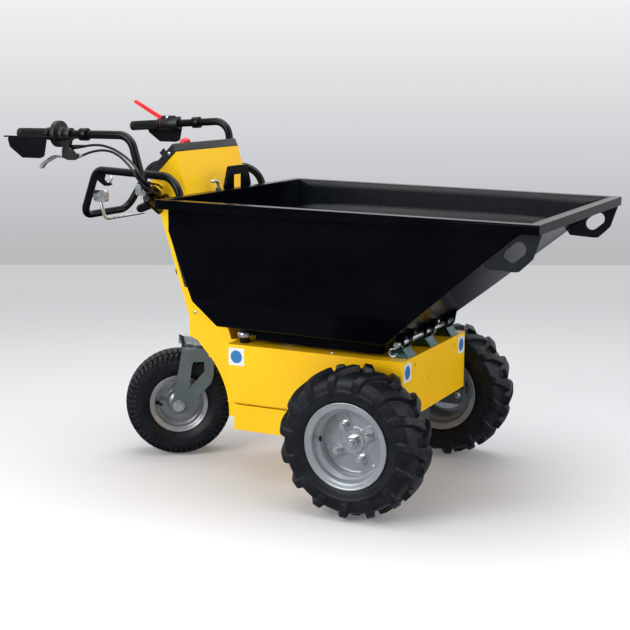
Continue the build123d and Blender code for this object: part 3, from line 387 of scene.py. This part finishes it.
# block cover: staggered rows of fine blocks, parted by grooves round the tyre and a slit at each block's end
def blockCover(out, around, size):
    pitch = 2 * np.pi * size["reach"] / size["blocks"]
    out = np.abs(out)
    row = np.floor(out / size["rowWidth"])
    slant = around + size["slant"] * out + row * pitch / 2
    slit = np.abs((slant + pitch / 2) % pitch - pitch / 2)
    groove = np.minimum(*[np.abs(out - place) for place in size["grooves"]])
    return easeIn(*size["slitWall"], slit) * np.maximum(easeIn(*size["grooveWall"], groove),
                                                        easeIn(*size["shoulder"], out))


# tyre surface: row = place over the section, column = turn; height = carcass + cover * (top - carcass), and
# the turn lags by the distance out, which slants the lugs back
def tyreSurface(centre, axis, ahead, size, cover):
    half = evenly(rounded(size["section"], 2), size["rows"])
    section = np.concatenate([half, (half * [-1, 1, -1, 1])[-2::-1]])
    reach = section[:, 3].max()
    columns = size["columns"] * size["blocks"]
    around = np.linspace(0, 2 * np.pi * reach, columns, endpoint=False)[None, :]
    out = np.repeat(section[:, :1], columns, axis=1)
    share = cover(out, np.repeat(around, len(section), axis=0), size)
    place = section[:, None, :2] + share[..., None] * (section[:, None, 2:] - section[:, None, :2])
    turn = (around - size["lag"] * np.abs(out) / size["lagOver"]) / reach
    axis, ahead = unit(axis), unit(ahead)
    radial = np.sin(turn)[..., None] * ahead + np.cos(turn)[..., None] * np.array([0, 0, 1.0])
    points = centre + place[..., :1] * mm * axis + place[..., 1:] * mm * radial
    return points, gridFaces(len(section), columns, closedRows=True)


# pressed rim: half its section from outer flange to middle, (out, radius), outer skin then inner skin; the
# castor's sleeve is the whole closed section of its hub and disc
driveRim = {
    "skin": [(67.2, 112.4), (68.8, 115.4), (67.6, 117.9), (64.9, 117.6), (63.7, 113), (63.3, 104),
             (61.6, 101.6), (46, 100.6), (40, 97), (34, 87.9)],
    "inside": [(37, 83.6), (43.5, 93), (49, 96.8), (59, 97.6), (63.6, 99.6), (65.4, 104.6)],
    "steps": 160, "disc": (6.0, 11.0), "bore": 30.1, "discEdge": 85.6, "lobeDepth": 3.0, "spokeHalf": 17.0,
    "spokes": 4, "firstSpoke": 30, "lobeStart": (37, 41), "lobeEnd": (3, 7), "rise": 3.5,
    "rings": 26, "boreLip": 0.6,
}
castorRimSize = {
    "skin": [(48.6, 84.4), (50.0, 87.2), (48.8, 88.6), (46.6, 88.2), (45.8, 85), (45.4, 78), (43.8, 76.2),
             (30, 75.4), (25.6, 71), (22.6, 65)],
    "inside": [(25.4, 61.4), (29.6, 68.6), (34, 71.6), (42, 72.4), (45, 74.6), (46.4, 79)],
    "steps": 128, "sleeveSteps": 96,
    "sleeve": [(-62, 10.1), (-62, 15), (-28, 15), (-26, 26), (-20, 33), (-6, 38), (-3, 46), (-3, 63),
               (3, 63), (3, 46), (6, 38), (20, 33), (26, 26), (28, 15), (62, 15), (62, 10.1)],
}


# rim barrel: the closed section of both skins turned round the axle
def rimBarrel(size, centre, axis):
    skin, inside = np.array(size["skin"], float), np.array(size["inside"], float)
    mirror = [-1, 1]
    loop = np.concatenate([skin, (skin * mirror)[::-1], (inside * mirror)[::-1], inside])
    loop = rounded(loop, 2, closed=True)
    return turnedRing(loop, centre, axis, size["steps"])


# wheel disc: out = face height less a recess wherever a point is far from every spoke and from both edges
def rimDisc(size, centre, axis, ahead):
    rings = np.linspace(size["bore"] + size["boreLip"], size["discEdge"], size["rings"])
    radii = np.concatenate([[size["bore"]], rings])
    angle = np.linspace(0, 2 * np.pi, size["steps"], endpoint=False)
    radius, turn = np.meshgrid(radii, angle, indexing="ij")
    pitch = 2 * np.pi / size["spokes"]
    spoke = (turn - math.radians(size["firstSpoke"]) + pitch / 2) % pitch - pitch / 2
    fromSpoke = radius * np.abs(np.sin(spoke))
    lobe = easeIn(size["spokeHalf"], size["spokeHalf"] + size["rise"], fromSpoke)
    outer = [size["discEdge"] - gap for gap in size["lobeEnd"]]
    lobe *= easeIn(*size["lobeStart"], radius) * easeIn(*outer, radius)
    face = size["disc"][1] - size["lobeDepth"] * lobe
    back = np.full_like(face, size["disc"][0])
    out = np.concatenate([face, back[::-1]])
    radius, turn = np.concatenate([radius, radius[::-1]]), np.concatenate([turn, turn])
    ring = np.cos(turn)[..., None] * unit(ahead) + np.sin(turn)[..., None] * np.array([0, 0, 1.0])
    points = centre + out[..., None] * mm * unit(axis) + radius[..., None] * mm * ring
    return points, gridFaces(len(out), len(angle), closedRows=True)


# valve stem in a rim: (along, radius), and its place and way out from the axle, (forward, out, up)
valve = {"profile": [(0, 0), (0, 6.6), (5, 6.4), (8, 4.6), (24, 4.2), (25, 3.6), (33, 3.6), (34, 2.8),
                     (34, 0)],
         "place": (-93, 24, 6), "way": (0.55, 1, -0.04), "castorBack": 66, "castorRight": 26, "steps": 20}

for side, name in ((-1, "right"), (1, "left")):
    centre = middleOf("rim_" + name)
    axis, body = (0, side, 0), "wheel_" + name
    tyre = makePiece("lugTyre_" + name, [tyreSurface(centre, axis, (1, 0, 0), driveTyre, lugCover)],
                     tyreRubberPaintedSheen, body, 50)
    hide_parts("tyre_" + name)
    rim = makePiece("pressedRim_" + name, [rimBarrel(driveRim, centre, axis),
                                           rimDisc(driveRim, centre, axis, (1, 0, 0))],
                    rimLacquer, body, 40)
    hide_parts("rim_" + name)
    mirror = np.array([1, side, 1])
    stem = turned(valve["profile"], centre + np.array(valve["place"]) * mirror * mm,
                  np.array(valve["way"]) * mirror, valve["steps"])
    makePiece("valve_" + name, [stem], gripRubber, body)
print("drive wheels made")

# the castor's own directions: along its axle and level ahead of it
castorCentre = middleOf("castor_rim")
joints = {joint["name"]: joint for joint in frame["record"]["behaviour"]["joints"]}
castorLeft = unit(joints["castor_spin"]["axis"])
castorAhead = np.array([castorLeft[1], -castorLeft[0], 0])
castorSkin = makePiece("blockTyre_castor",
                       [tyreSurface(castorCentre, castorLeft, castorAhead, castorTyre, blockCover)],
                       tyreRubberPaintedSheen, "castor_wheel", 50)
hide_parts("castor_tyre")
castorSleeve = turnedRing(castorRimSize["sleeve"], castorCentre, castorLeft, castorRimSize["sleeveSteps"])
castorRim = makePiece("pressedRim_castor",
                      [rimBarrel(castorRimSize, castorCentre, castorLeft), castorSleeve],
                      castorZinc, "castor_wheel", 40)
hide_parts("castor_rim")
castorValve = castorCentre - castorAhead * valve["castorBack"] * mm - castorLeft * valve["castorRight"] * mm
stem = turned(valve["profile"], castorValve, castorAhead * 0.5 - castorLeft, valve["steps"])
makePiece("valve_castor", [stem], gripRubber, "castor_wheel")
print("castor wheel made")

# grip: a plain sleeve, (along, radius) from its domed rear end to its collar, and the ridges along it
gripSize = {
    "sleeve": [(-4, 0), (-4, 10), (-3.4, 13.4), (-1.5, 15.2), (1, 15.5), (4, 15.5), (7, 15.2), (9, 14.6),
               (60, 14.6), (96, 14.6), (99, 15.4), (101, 18), (103, 18.5), (109, 18.5), (111, 17.6),
               (112, 15.5), (112, 12.1)],
    "rows": 120, "ridge": 0.9, "ridges": 22, "ridgeSteps": 8, "ridgeStart": (8, 12), "ridgeEnd": (98, 94),
}


# ribbed grip: radius = sleeve + ridge * cosine of the turn, fading out before both ends
def ribbedGrip(size, rear, forward):
    steps = size["ridges"] * size["ridgeSteps"]
    angle = np.linspace(0, 2 * np.pi, steps, endpoint=False)[None, :]
    fine = evenly(size["sleeve"], size["rows"])
    ribbed = easeIn(*size["ridgeStart"], fine[:, :1]) * easeIn(*size["ridgeEnd"], fine[:, :1])
    radius = fine[:, 1:] + size["ridge"] * ribbed * np.cos(size["ridges"] * angle)
    across = unit(np.cross(forward, (0, 0, 1)))
    ring = np.cos(angle)[..., None] * across + np.sin(angle)[..., None] * np.cross(across, forward)
    points = rear + fine[:, :1, None] * mm * forward + radius[..., None] * mm * ring
    return points, gridFaces(len(fine), steps)


# rear end of each bar and the way it runs forward
barEnds = {"right": (at(-1109, -288, 983), unit([387, 0, 2])),
           "left": (at(-1109, 288, 984), unit([364, 0, 22]))}
for name, (rear, forward) in barEnds.items():
    grip = makePiece("ribbedGrip_" + name, [ribbedGrip(gripSize, rear, forward)], gripRubber, "chassis",
                     60)
    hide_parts("grip_" + name)

# label: white vinyl square with a plain blue disc, drawn in the label's own UV square; the disc and its soft
# edge are shares of the side, and sunk is how deep the label's back lies in the sheet
labelSize = {"side": 50.0, "corner": 2.5, "thick": 0.3, "sunk": 0.1, "disc": 0.37, "discEdge": 0.008,
             "white": "#EEF0F0", "worn": "#DDE0E0", "blue": "#2B78B4"}


def labelVinyl(size):
    material, tree, shader = startMaterial("printedLabelVinyl", {"Roughness": 0.35})
    place = addNode(tree, "UVMap")
    middle = addNode(tree, "VectorMath", {"operation": "DISTANCE", 1: (0.5, 0.5, 0.0)},
                     {0: place.outputs["UV"]})
    beyond = addNode(tree, "MapRange", {"From Min": size["disc"] - size["discEdge"],
                                        "From Max": size["disc"] + size["discEdge"]},
                     {"Value": middle.outputs["Value"]})
    coords = addNode(tree, "TexCoord").outputs["Object"]
    wear, ramp = cloudedColour(tree, coords, 9.0, size["worn"], size["white"])
    colour = addNode(tree, "Mix", {"data_type": "RGBA", 6: hexToLinear(size["blue"])},
                     {0: beyond.outputs["Result"], 7: ramp.outputs["Color"]})
    rough = addNode(tree, "MapRange", {"To Min": 0.28, "To Max": 0.42}, {"Value": wear.outputs["Fac"]})
    tree.links.new(colour.outputs[2], shader.inputs["Base Color"])
    tree.links.new(rough.outputs["Result"], shader.inputs["Roughness"])
    return material


# rectangle with quarter-round corners, centred on the origin
def softSquare(width, height, corner, steps=6):
    quarter = np.linspace(0, np.pi / 2, steps)
    turn = np.concatenate([quarter + fourth * np.pi / 2 for fourth in range(4)])
    signX = np.repeat([1, -1, -1, 1], steps)
    signY = np.repeat([1, 1, -1, -1], steps)
    return np.stack([signX * (width / 2 - corner) + corner * np.cos(turn),
                     signY * (height / 2 - corner) + corner * np.sin(turn)], axis=1)


vinyl = labelVinyl(labelSize)
# middle of each label and its level direction
labels = {"side": (at(-415, -238, 371), (1, 0, 0)), "frontRight": (at(92, -204.5, 371.5), (0, 1, 0)),
          "frontLeft": (at(92, 204.5, 371.5), (0, 1, 0))}
for name, (centre, across) in labels.items():
    outward = np.cross(unit(across), (0, 0, 1))
    shape = softSquare(labelSize["side"], labelSize["side"], labelSize["corner"])
    label = makePiece("label_" + name, [plate(shape, centre - outward * labelSize["sunk"] * mm, across,
                                              (0, 0, 1), labelSize["thick"] + labelSize["sunk"])],
                      vinyl, "chassis")
    mesh = label.data
    corners = np.empty(len(mesh.vertices) * 3)
    mesh.vertices.foreach_get("co", corners)
    apart = corners.reshape(-1, 3) - centre
    square = np.stack([apart @ unit(across), apart[:, 2]], axis=1) / (labelSize["side"] * mm) + 0.5
    order = np.empty(len(mesh.loops), int)
    mesh.loops.foreach_get("vertex_index", order)
    mesh.uv_layers.new(name="UVMap").data.foreach_set("uv", square[order].ravel())
print("grips and labels made")

# heads of the fasteners: (along, radius)
panHead = [(-1, 0), (-1, 5.6), (0.6, 5.6), (2.2, 4.9), (3.2, 3.2), (3.6, 0)]
flatWasher = [(-0.5, 0), (-0.5, 9.5), (1.4, 9.5), (1.6, 9.1), (1.6, 0)]
hexBolt = [(1.6, 0), (1.6, 6.6), (6.2, 6.6), (7.0, 5.8), (7.0, 0)]


def heads(places, axis, profile, steps=24):
    return [turned(profile, place, axis, steps) for place in places]


# painted bolts on the box's front, zinc screws on its top and the column's side, bolts through both faces of
# the axle's flanges
frontBolts = [at(92, y, z) for y, z in ((69, 328), (-61, 327), (159, 272), (72, 273), (-59, 273))]
makePiece("paintedBolts", heads(frontBolts, (1, 0, 0), panHead), yellowCoat, "chassis")
plateScrews = heads([at(-126, -213, 406), at(-126, 213, 406)], (0, 0, 1), panHead)
sideScrews = heads([at(-586, -177, 474), at(-664, -179, 930)], (0, -1, 0), panHead, 16)
makePiece("coverScrews", plateScrews + sideScrews, brightZinc, "chassis")
flange = {"faces": (243.4, 222.6), "ahead": (-78, 78), "up": 213}          # outer face, then inner
flangeBolts = []
for side in (-1, 1):
    for face, way in zip(flange["faces"], (side, -side)):
        places = [at(x, side * face, flange["up"]) for x in flange["ahead"]]
        flangeBolts += heads(places, (0, way, 0), flatWasher) + heads(places, (0, way, 0), hexBolt, 6)
makePiece("axleFlangeBolts", flangeBolts, brightZinc, "chassis")

# emergency stop: a ball-headed red button on its stem, (along, radius) about the lid's slope
stopButton = {"profile": [(-8, 0), (-8, 10), (2, 10), (3, 13.6), (5, 17), (9, 18.4), (13, 18), (18, 15.4),
                          (21.5, 11.2), (23.6, 5.8), (24.2, 0)], "lift": -6.0, "steps": 48}
# the lid's sloping panel: its low end, and the ways up along it and out of it
lidRear, lidFront = at(-733, 0, 880), at(-653, 0, 959)
lidUp = unit(lidFront - lidRear)
lidOut = np.array([-lidUp[2], 0, lidUp[0]])
stopBase = middleOf("emergency_stop") + lidOut * stopButton["lift"] * mm
stopCrown = makePiece("stopButton", [turned(rounded(stopButton["profile"], 2), stopBase, lidOut,
                                            stopButton["steps"])], redNylon, "chassis", 50)
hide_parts("emergency_stop")

# thin plates at the guard loop and the castor: outline in the side view, forward and up
loopGusset = {"outline": [(-940, 846), (-926, 862), (-905, 864), (-912, 846), (-902, 836), (-886, 835),
                          (-884, 830), (-897, 826), (-911, 826), (-930, 838)],
              "y": -151.0, "thick": 5.0, "slot": "black_paint"}
castorBlade = {"outline": [(-722, 374), (-714, 372), (-703, 339), (-711, 337)],
               "y": -52.0, "thick": 4.0, "slot": "dark_steel"}
for name, size, skin in (("loopGusset", loopGusset, blackCoat), ("castorBlade", castorBlade, darkSteel)):
    outline = np.array(size["outline"], float) - size["outline"][0]
    origin = at(size["outline"][0][0], size["y"], size["outline"][0][1])
    makePiece(name, [plate(outline, origin, (1, 0, 0), (0, 0, 1), size["thick"])], skin, "chassis")

# bent wire: snap hook on the loop and the pin through the hinge rod's near end
snapHook = [(-899, -150, 860), (-891, -150, 857), (-886, -150, 849), (-889, -150, 840), (-896, -150, 837),
            (-900, -150, 842), (-897, -150, 848)]
ringPin = [(62, -209, 424), (60, -210, 416), (52, -211, 412), (43, -211, 416), (40, -211, 425),
           (46, -210, 434), (56, -210, 433), (64, -209.5, 440), (74, -209, 446), (79, -209, 440)]
wireSteps = {"along": 48, "round": 10}


def bentWire(name, route, radius, skin, body):
    path = evenly(rounded([at(*place) for place in route], 3), wireSteps["along"])
    makePiece(name, [tubeAlong(path, radius, wireSteps["round"])], skin, body)


bentWire("snapHook", snapHook, 2.6, brightZinc, "chassis")
bentWire("ringPin", ringPin, 1.6, brightZinc, "chassis")

# rubber buffers under the tub carry a zinc cup each
bufferCup = [(17, 15.2), (17, 19.5), (19, 20.4), (28, 20.4), (31, 18.5), (31, 15.2)]
buffers = [turnedRing(bufferCup, at(-410, side * 198, 406), (0, 0, 1), 40) for side in (-1, 1)]
makePiece("bufferCups", buffers, brightZinc, "chassis")

# cable ends at the brake lever: a tapered rubber boot and a screwed adjuster, along then radius
cableBoot = [(0, 0), (0, 4.0), (14, 5.0), (34, 6.4), (52, 7.6), (58, 6.8), (58, 0)]
adjuster = [(0, 0), (0, 4.6), (3, 4.6), (4, 3.4), (7, 3.4), (8, 4.6), (16, 4.6), (17, 3.2), (22, 3.2),
            (22, 0)]
makePiece("cableBoot", [turned(cableBoot, at(-886, -276, 950), (-1, 0, -0.09), 24)], gripRubber,
          "chassis")
makePiece("cableAdjuster", [turned(adjuster, at(-890, -284, 924), (-1, 0, -0.24), 24)], brightZinc,
          "chassis")

# screw at the pivot of the dead man's lever
makePiece("pivotScrew", heads([at(-964, 272, 1014)], (0, -1, 0), panHead, 16), brightZinc, "chassis")

# rear end of each bar's socket tube, closed with a rounded cap
socketTube = [(0, 0), (0, 12.5), (95, 12.5), (102, 11.6), (107, 9.2), (109.5, 5), (110, 0)]
sockets = [turned(socketTube, at(-657, side * 205, 806), (-45, 0, -17), 32) for side in (-1, 1)]
makePiece("socketTubes", sockets, blackCoat, "chassis")

# catch on the tub's rear rim beside its lift plate: a bent handle over a black nut
catchHandle = [(-556, -128, 850), (-556, -112, 851), (-556, -96, 848), (-556, -90, 840), (-556, -89, 820)]
catchNut = [(0, 0), (0, 9), (9, 9), (11, 7.5), (11, 0)]
bentWire("catchHandle", catchHandle, 4.6, brightZinc, "tub")
makePiece("catchNut", [turned(catchNut, at(-556, -89, 819), (0, 0, 1), 6)], blackNylon, "tub")

# ties that hold the cables to the right bar
tieRing = [(-2.2, 17.4), (-2.2, 19), (2.2, 19), (2.2, 17.4)]
tiePlaces = [(at(-686, -262, 838), (-0.1, 0.8, -0.45)), (at(-694, -215, 816), (-0.1, 0.8, -0.35))]
makePiece("cableTies", [turnedRing(tieRing, place, way, 32) for place, way in tiePlaces], blackNylon,
          "chassis")

# operator's panel on the sloping lid: a raised bezel, a dark window, keys and screws; middle is up the slope
# from its low end, side to the left, and every place on the panel is (left, up the slope) from its middle
panel = {
    "bezel": (112.0, 74.0, 8.0), "thick": 2.5, "middle": 54.0, "side": 58.0,
    "window": (64, 30, 4), "windowUp": 14, "windowTop": 3.1, "windowThick": 1, "fittingsFrom": 2,
    "screws": [(-49, -30), (-49, 30), (49, -30), (49, 30)], "keys": [(-20, -18), (0, -18), (20, -18)],
    "screw": [(0, 0), (0, 3), (1.2, 2.8), (1.8, 1.6), (2, 0)],
    "key": [(0, 0), (0, 6), (1.4, 6), (2, 5.4), (2.1, 0)],
}
panelMiddle = lidRear + lidUp * panel["middle"] * mm + np.array([0, panel["side"] * mm, 0])
bezel = plate(softSquare(*panel["bezel"]), panelMiddle + lidOut * panel["thick"] * mm,
              (0, -1, 0), lidUp, -panel["thick"])
windowPlace = panelMiddle + lidOut * panel["windowTop"] * mm + lidUp * panel["windowUp"] * mm
window = plate(softSquare(*panel["window"]), windowPlace, (0, -1, 0), lidUp, -panel["windowThick"])
makePiece("panelBezel", [bezel], blackNylon, "chassis")
makePiece("panelWindow", [window], tubEnamel, "chassis")


def onPanel(places):
    base = panelMiddle + lidOut * panel["fittingsFrom"] * mm
    return [base + left * mm * np.array([0, 1, 0]) + up * mm * lidUp for left, up in places]


makePiece("panelScrews", heads(onPanel(panel["screws"]), lidOut, panel["screw"], 16), brightZinc,
          "chassis")
makePiece("panelKeys", heads(onPanel(panel["keys"]), lidOut, panel["key"]), redNylon, "chassis")
print("small fittings made")

# stage: floor and cloth colours go by metres towards the camera, sky colours by the sine of the height above
# level; ownLight is the floor's own share of light at the two ownPlaces; dark is the backdrop's brightness
# behind the viewer, reached where a direction's Y passes from the second to the first value of behind
stageSizes = {
    "side": 5.0, "far": 4.1, "near": 6.0,
    "floor": [(-3.82, "#CDCED0"), (-2.86, "#CFD0D2"), (-1.64, "#D8D8DA"), (-0.79, "#DADADC"),
              (-0.17, "#E2E2E4"), (0.32, "#E6E6E8"), (0.76, "#F0F0F1"), (1.2, "#FFFFFF")],
    "sky": [(-0.15, "#B8B9BB"), (-0.127, "#BBBCBE"), (-0.08, "#C9CACE"), (-0.02, "#DBDCDE"),
            (0.06, "#F3F3F5")],
    "cloth": [(-3.5, "#D4D6D9"), (-2.2, "#A6A9AE"), (-1.4, "#1C1E22"), (-0.4, "#1C1E22"),
              (0.2, "#8E9196"), (4.0, "#B4B7BB")],
    "worldColour": "#E6E7EA", "worldStrength": 0.5, "ownPlaces": (-0.8, -3.4), "ownLight": (0.15, 0.95),
    "behind": (-0.75, -0.1), "dark": 0.12,
}
viewAhead = (-0.449, 0.894)          # level direction in which the picture is seen


# a colour ramp whose stops are given as (value, colour): value runs from the first stop's to the last one's
def colourStops(tree, stops, value):
    first, last = stops[0][0], stops[-1][0]
    share = addNode(tree, "MapRange", {"From Min": first, "From Max": last}, {"Value": value})
    ramp = addNode(tree, "ValToRGB", links={"Fac": share.outputs["Result"]})
    elements = ramp.color_ramp.elements
    for _ in stops[2:]:
        elements.new(0.5)
    for element, (place, colour) in zip(elements, stops):
        element.position = (place - first) / (last - first)
        element.color = hexToLinear(colour)
    return ramp.outputs["Color"]


# floor: a square sheet turned with the view, its far edge the horizon
ahead, aside = np.array([*viewAhead, 0]), np.array([viewAhead[1], -viewAhead[0], 0])
corners = [stageSizes[end] * sign * ahead + stageSizes["side"] * across * aside
           for end, sign, across in (("far", 1, -1), ("near", -1, -1), ("near", -1, 1), ("far", 1, 1))]
floorMesh = bpy.data.meshes.new("studioFloor")
floorMesh.from_pydata([list(corner) for corner in corners], [], [[0, 1, 2, 3]])
floor = bpy.data.objects.new("studioFloor", floorMesh)
bpy.context.collection.objects.link(floor)
floorFinish = {"Roughness": 0.9, "Specular IOR Level": 0.1}
floorPaint, floorTree, floorShader = startMaterial("mattPaintedFloor", floorFinish)
floorPlace = addNode(floorTree, "TexCoord").outputs["Object"]
# the floor's paint grows paler towards the camera; further back more of its light is its own
depth = addNode(floorTree, "VectorMath",
                {"operation": "DOT_PRODUCT", 1: (-viewAhead[0], -viewAhead[1], 0.0)}, {0: floorPlace})
floorColour = colourStops(floorTree, stageSizes["floor"], depth.outputs["Value"])
floorTree.links.new(floorColour, floorShader.inputs["Base Color"])
own = addNode(floorTree, "Emission", {"Strength": 1.0}, {"Color": floorColour})
(nearOwn, farOwn), (leastOwn, mostOwn) = stageSizes["ownPlaces"], stageSizes["ownLight"]
ownShare = addNode(floorTree, "MapRange", {"From Min": nearOwn, "From Max": farOwn, "To Min": leastOwn,
                                           "To Max": mostOwn}, {"Value": depth.outputs["Value"]})
floorMix = addNode(floorTree, "MixShader", links={0: ownShare.outputs["Result"],
                                                  1: floorShader.outputs[0], 2: own.outputs[0]})
# in the glossy skins of the machine the floor is a dark one, as in a studio with black cloth round the set
floorDark = addNode(floorTree, "Emission", {"Strength": 1.0},
                    {"Color": colourStops(floorTree, stageSizes["cloth"], depth.outputs["Value"])})
floorRays = addNode(floorTree, "LightPath")
floorSeen = addNode(floorTree, "MixShader", links={0: floorRays.outputs["Is Glossy Ray"],
                                                   1: floorMix.outputs[0], 2: floorDark.outputs[0]})
floorTree.links.new(floorSeen.outputs[0], floorTree.nodes["Material Output"].inputs["Surface"])
floorMesh.materials.append(floorPaint)

# world: a plain light for diffuse rays, and the backdrop for camera, glossy and transmission rays
world = bpy.data.worlds.new("paleStudio")
bpy.context.scene.world = world
world.use_nodes = True
worldTree = world.node_tree
light = worldTree.nodes["Background"]
light.inputs["Color"].default_value = hexToLinear(stageSizes["worldColour"])
light.inputs["Strength"].default_value = stageSizes["worldStrength"]
way = addNode(worldTree, "TexCoord").outputs["Generated"]
upward = addNode(worldTree, "SeparateXYZ", links={"Vector": way})
skyColour = colourStops(worldTree, stageSizes["sky"], upward.outputs["Z"])
rays = addNode(worldTree, "LightPath")
# in glossy skins the studio behind the viewer is dark: brightness = 1 ahead, falling to a small share behind
behind = addNode(worldTree, "MapRange", {"From Min": stageSizes["behind"][0],
                                         "From Max": stageSizes["behind"][1],
                                         "To Min": stageSizes["dark"]}, {"Value": upward.outputs["Y"]})
shown = addNode(worldTree, "Math", {"operation": "MAXIMUM"},
                {0: behind.outputs["Result"], 1: rays.outputs["Is Camera Ray"]})
skyShaded = addNode(worldTree, "Mix", {"data_type": "RGBA", 6: (0.0, 0.0, 0.0, 1.0)},
                    {0: shown.outputs[0], 7: skyColour})
backdrop = addNode(worldTree, "Background", {"Strength": 1.0}, {"Color": skyShaded.outputs[2]})
viewOrGloss = addNode(worldTree, "Math", {"operation": "MAXIMUM"},
                      {0: rays.outputs["Is Camera Ray"], 1: rays.outputs["Is Glossy Ray"]})
seen = addNode(worldTree, "Math", {"operation": "MAXIMUM"},
               {0: viewOrGloss.outputs[0], 1: rays.outputs["Is Transmission Ray"]})
picked = addNode(worldTree, "MixShader",
                 links={0: seen.outputs[0], 1: light.outputs[0], 2: backdrop.outputs[0]})
worldTree.links.new(picked.outputs[0], worldTree.nodes["World Output"].inputs["Surface"])

# soft lamps: place, what each points at, width in metres and power in watts
lamps = {
    "keyPanel": ((-1.6, -4.2, 2.6), (0, 0, 0.7), 3.0, 146),
    "topPanel": ((0.2, 0.2, 3.8), (0, 0, 0.4), 4.0, 150),
    "frontPanel": ((4.4, 0.4, 2.2), (0.3, 0, 0.4), 2.4, 44),
}
for name, (place, aim, size, power) in lamps.items():
    lampData = bpy.data.lights.new(name, "AREA")
    lampData.size = size
    lampData.energy = power
    lamp = bpy.data.objects.new(name, lampData)
    lamp.location = place
    lamp.rotation_euler = (Vector(aim) - Vector(place)).to_track_quat("-Z", "Y").to_euler()
    bpy.context.collection.objects.link(lamp)

# camera: yaw turns the view from +Y towards -X, pitch tips it below level, lens and sensor in millimetres
view = {"place": (1.6881, -3.3116, 1.1587), "yaw": 26.67, "pitch": 10.65, "roll": -0.05, "lens": 73.73,
        "sensor": 36}
cameraData = bpy.data.cameras.new("threeQuarterView")
cameraData.sensor_width = view["sensor"]
cameraData.lens = view["lens"]
camera = bpy.data.objects.new("threeQuarterView", cameraData)
camera.location = view["place"]
camera.rotation_euler = Euler((math.radians(90 - view["pitch"]), math.radians(view["roll"]),
                               math.radians(view["yaw"])), "XYZ")
bpy.context.collection.objects.link(camera)
bpy.context.scene.camera = camera
bpy.context.scene.view_settings.view_transform = "Standard"
print("stage, lamps and camera set")
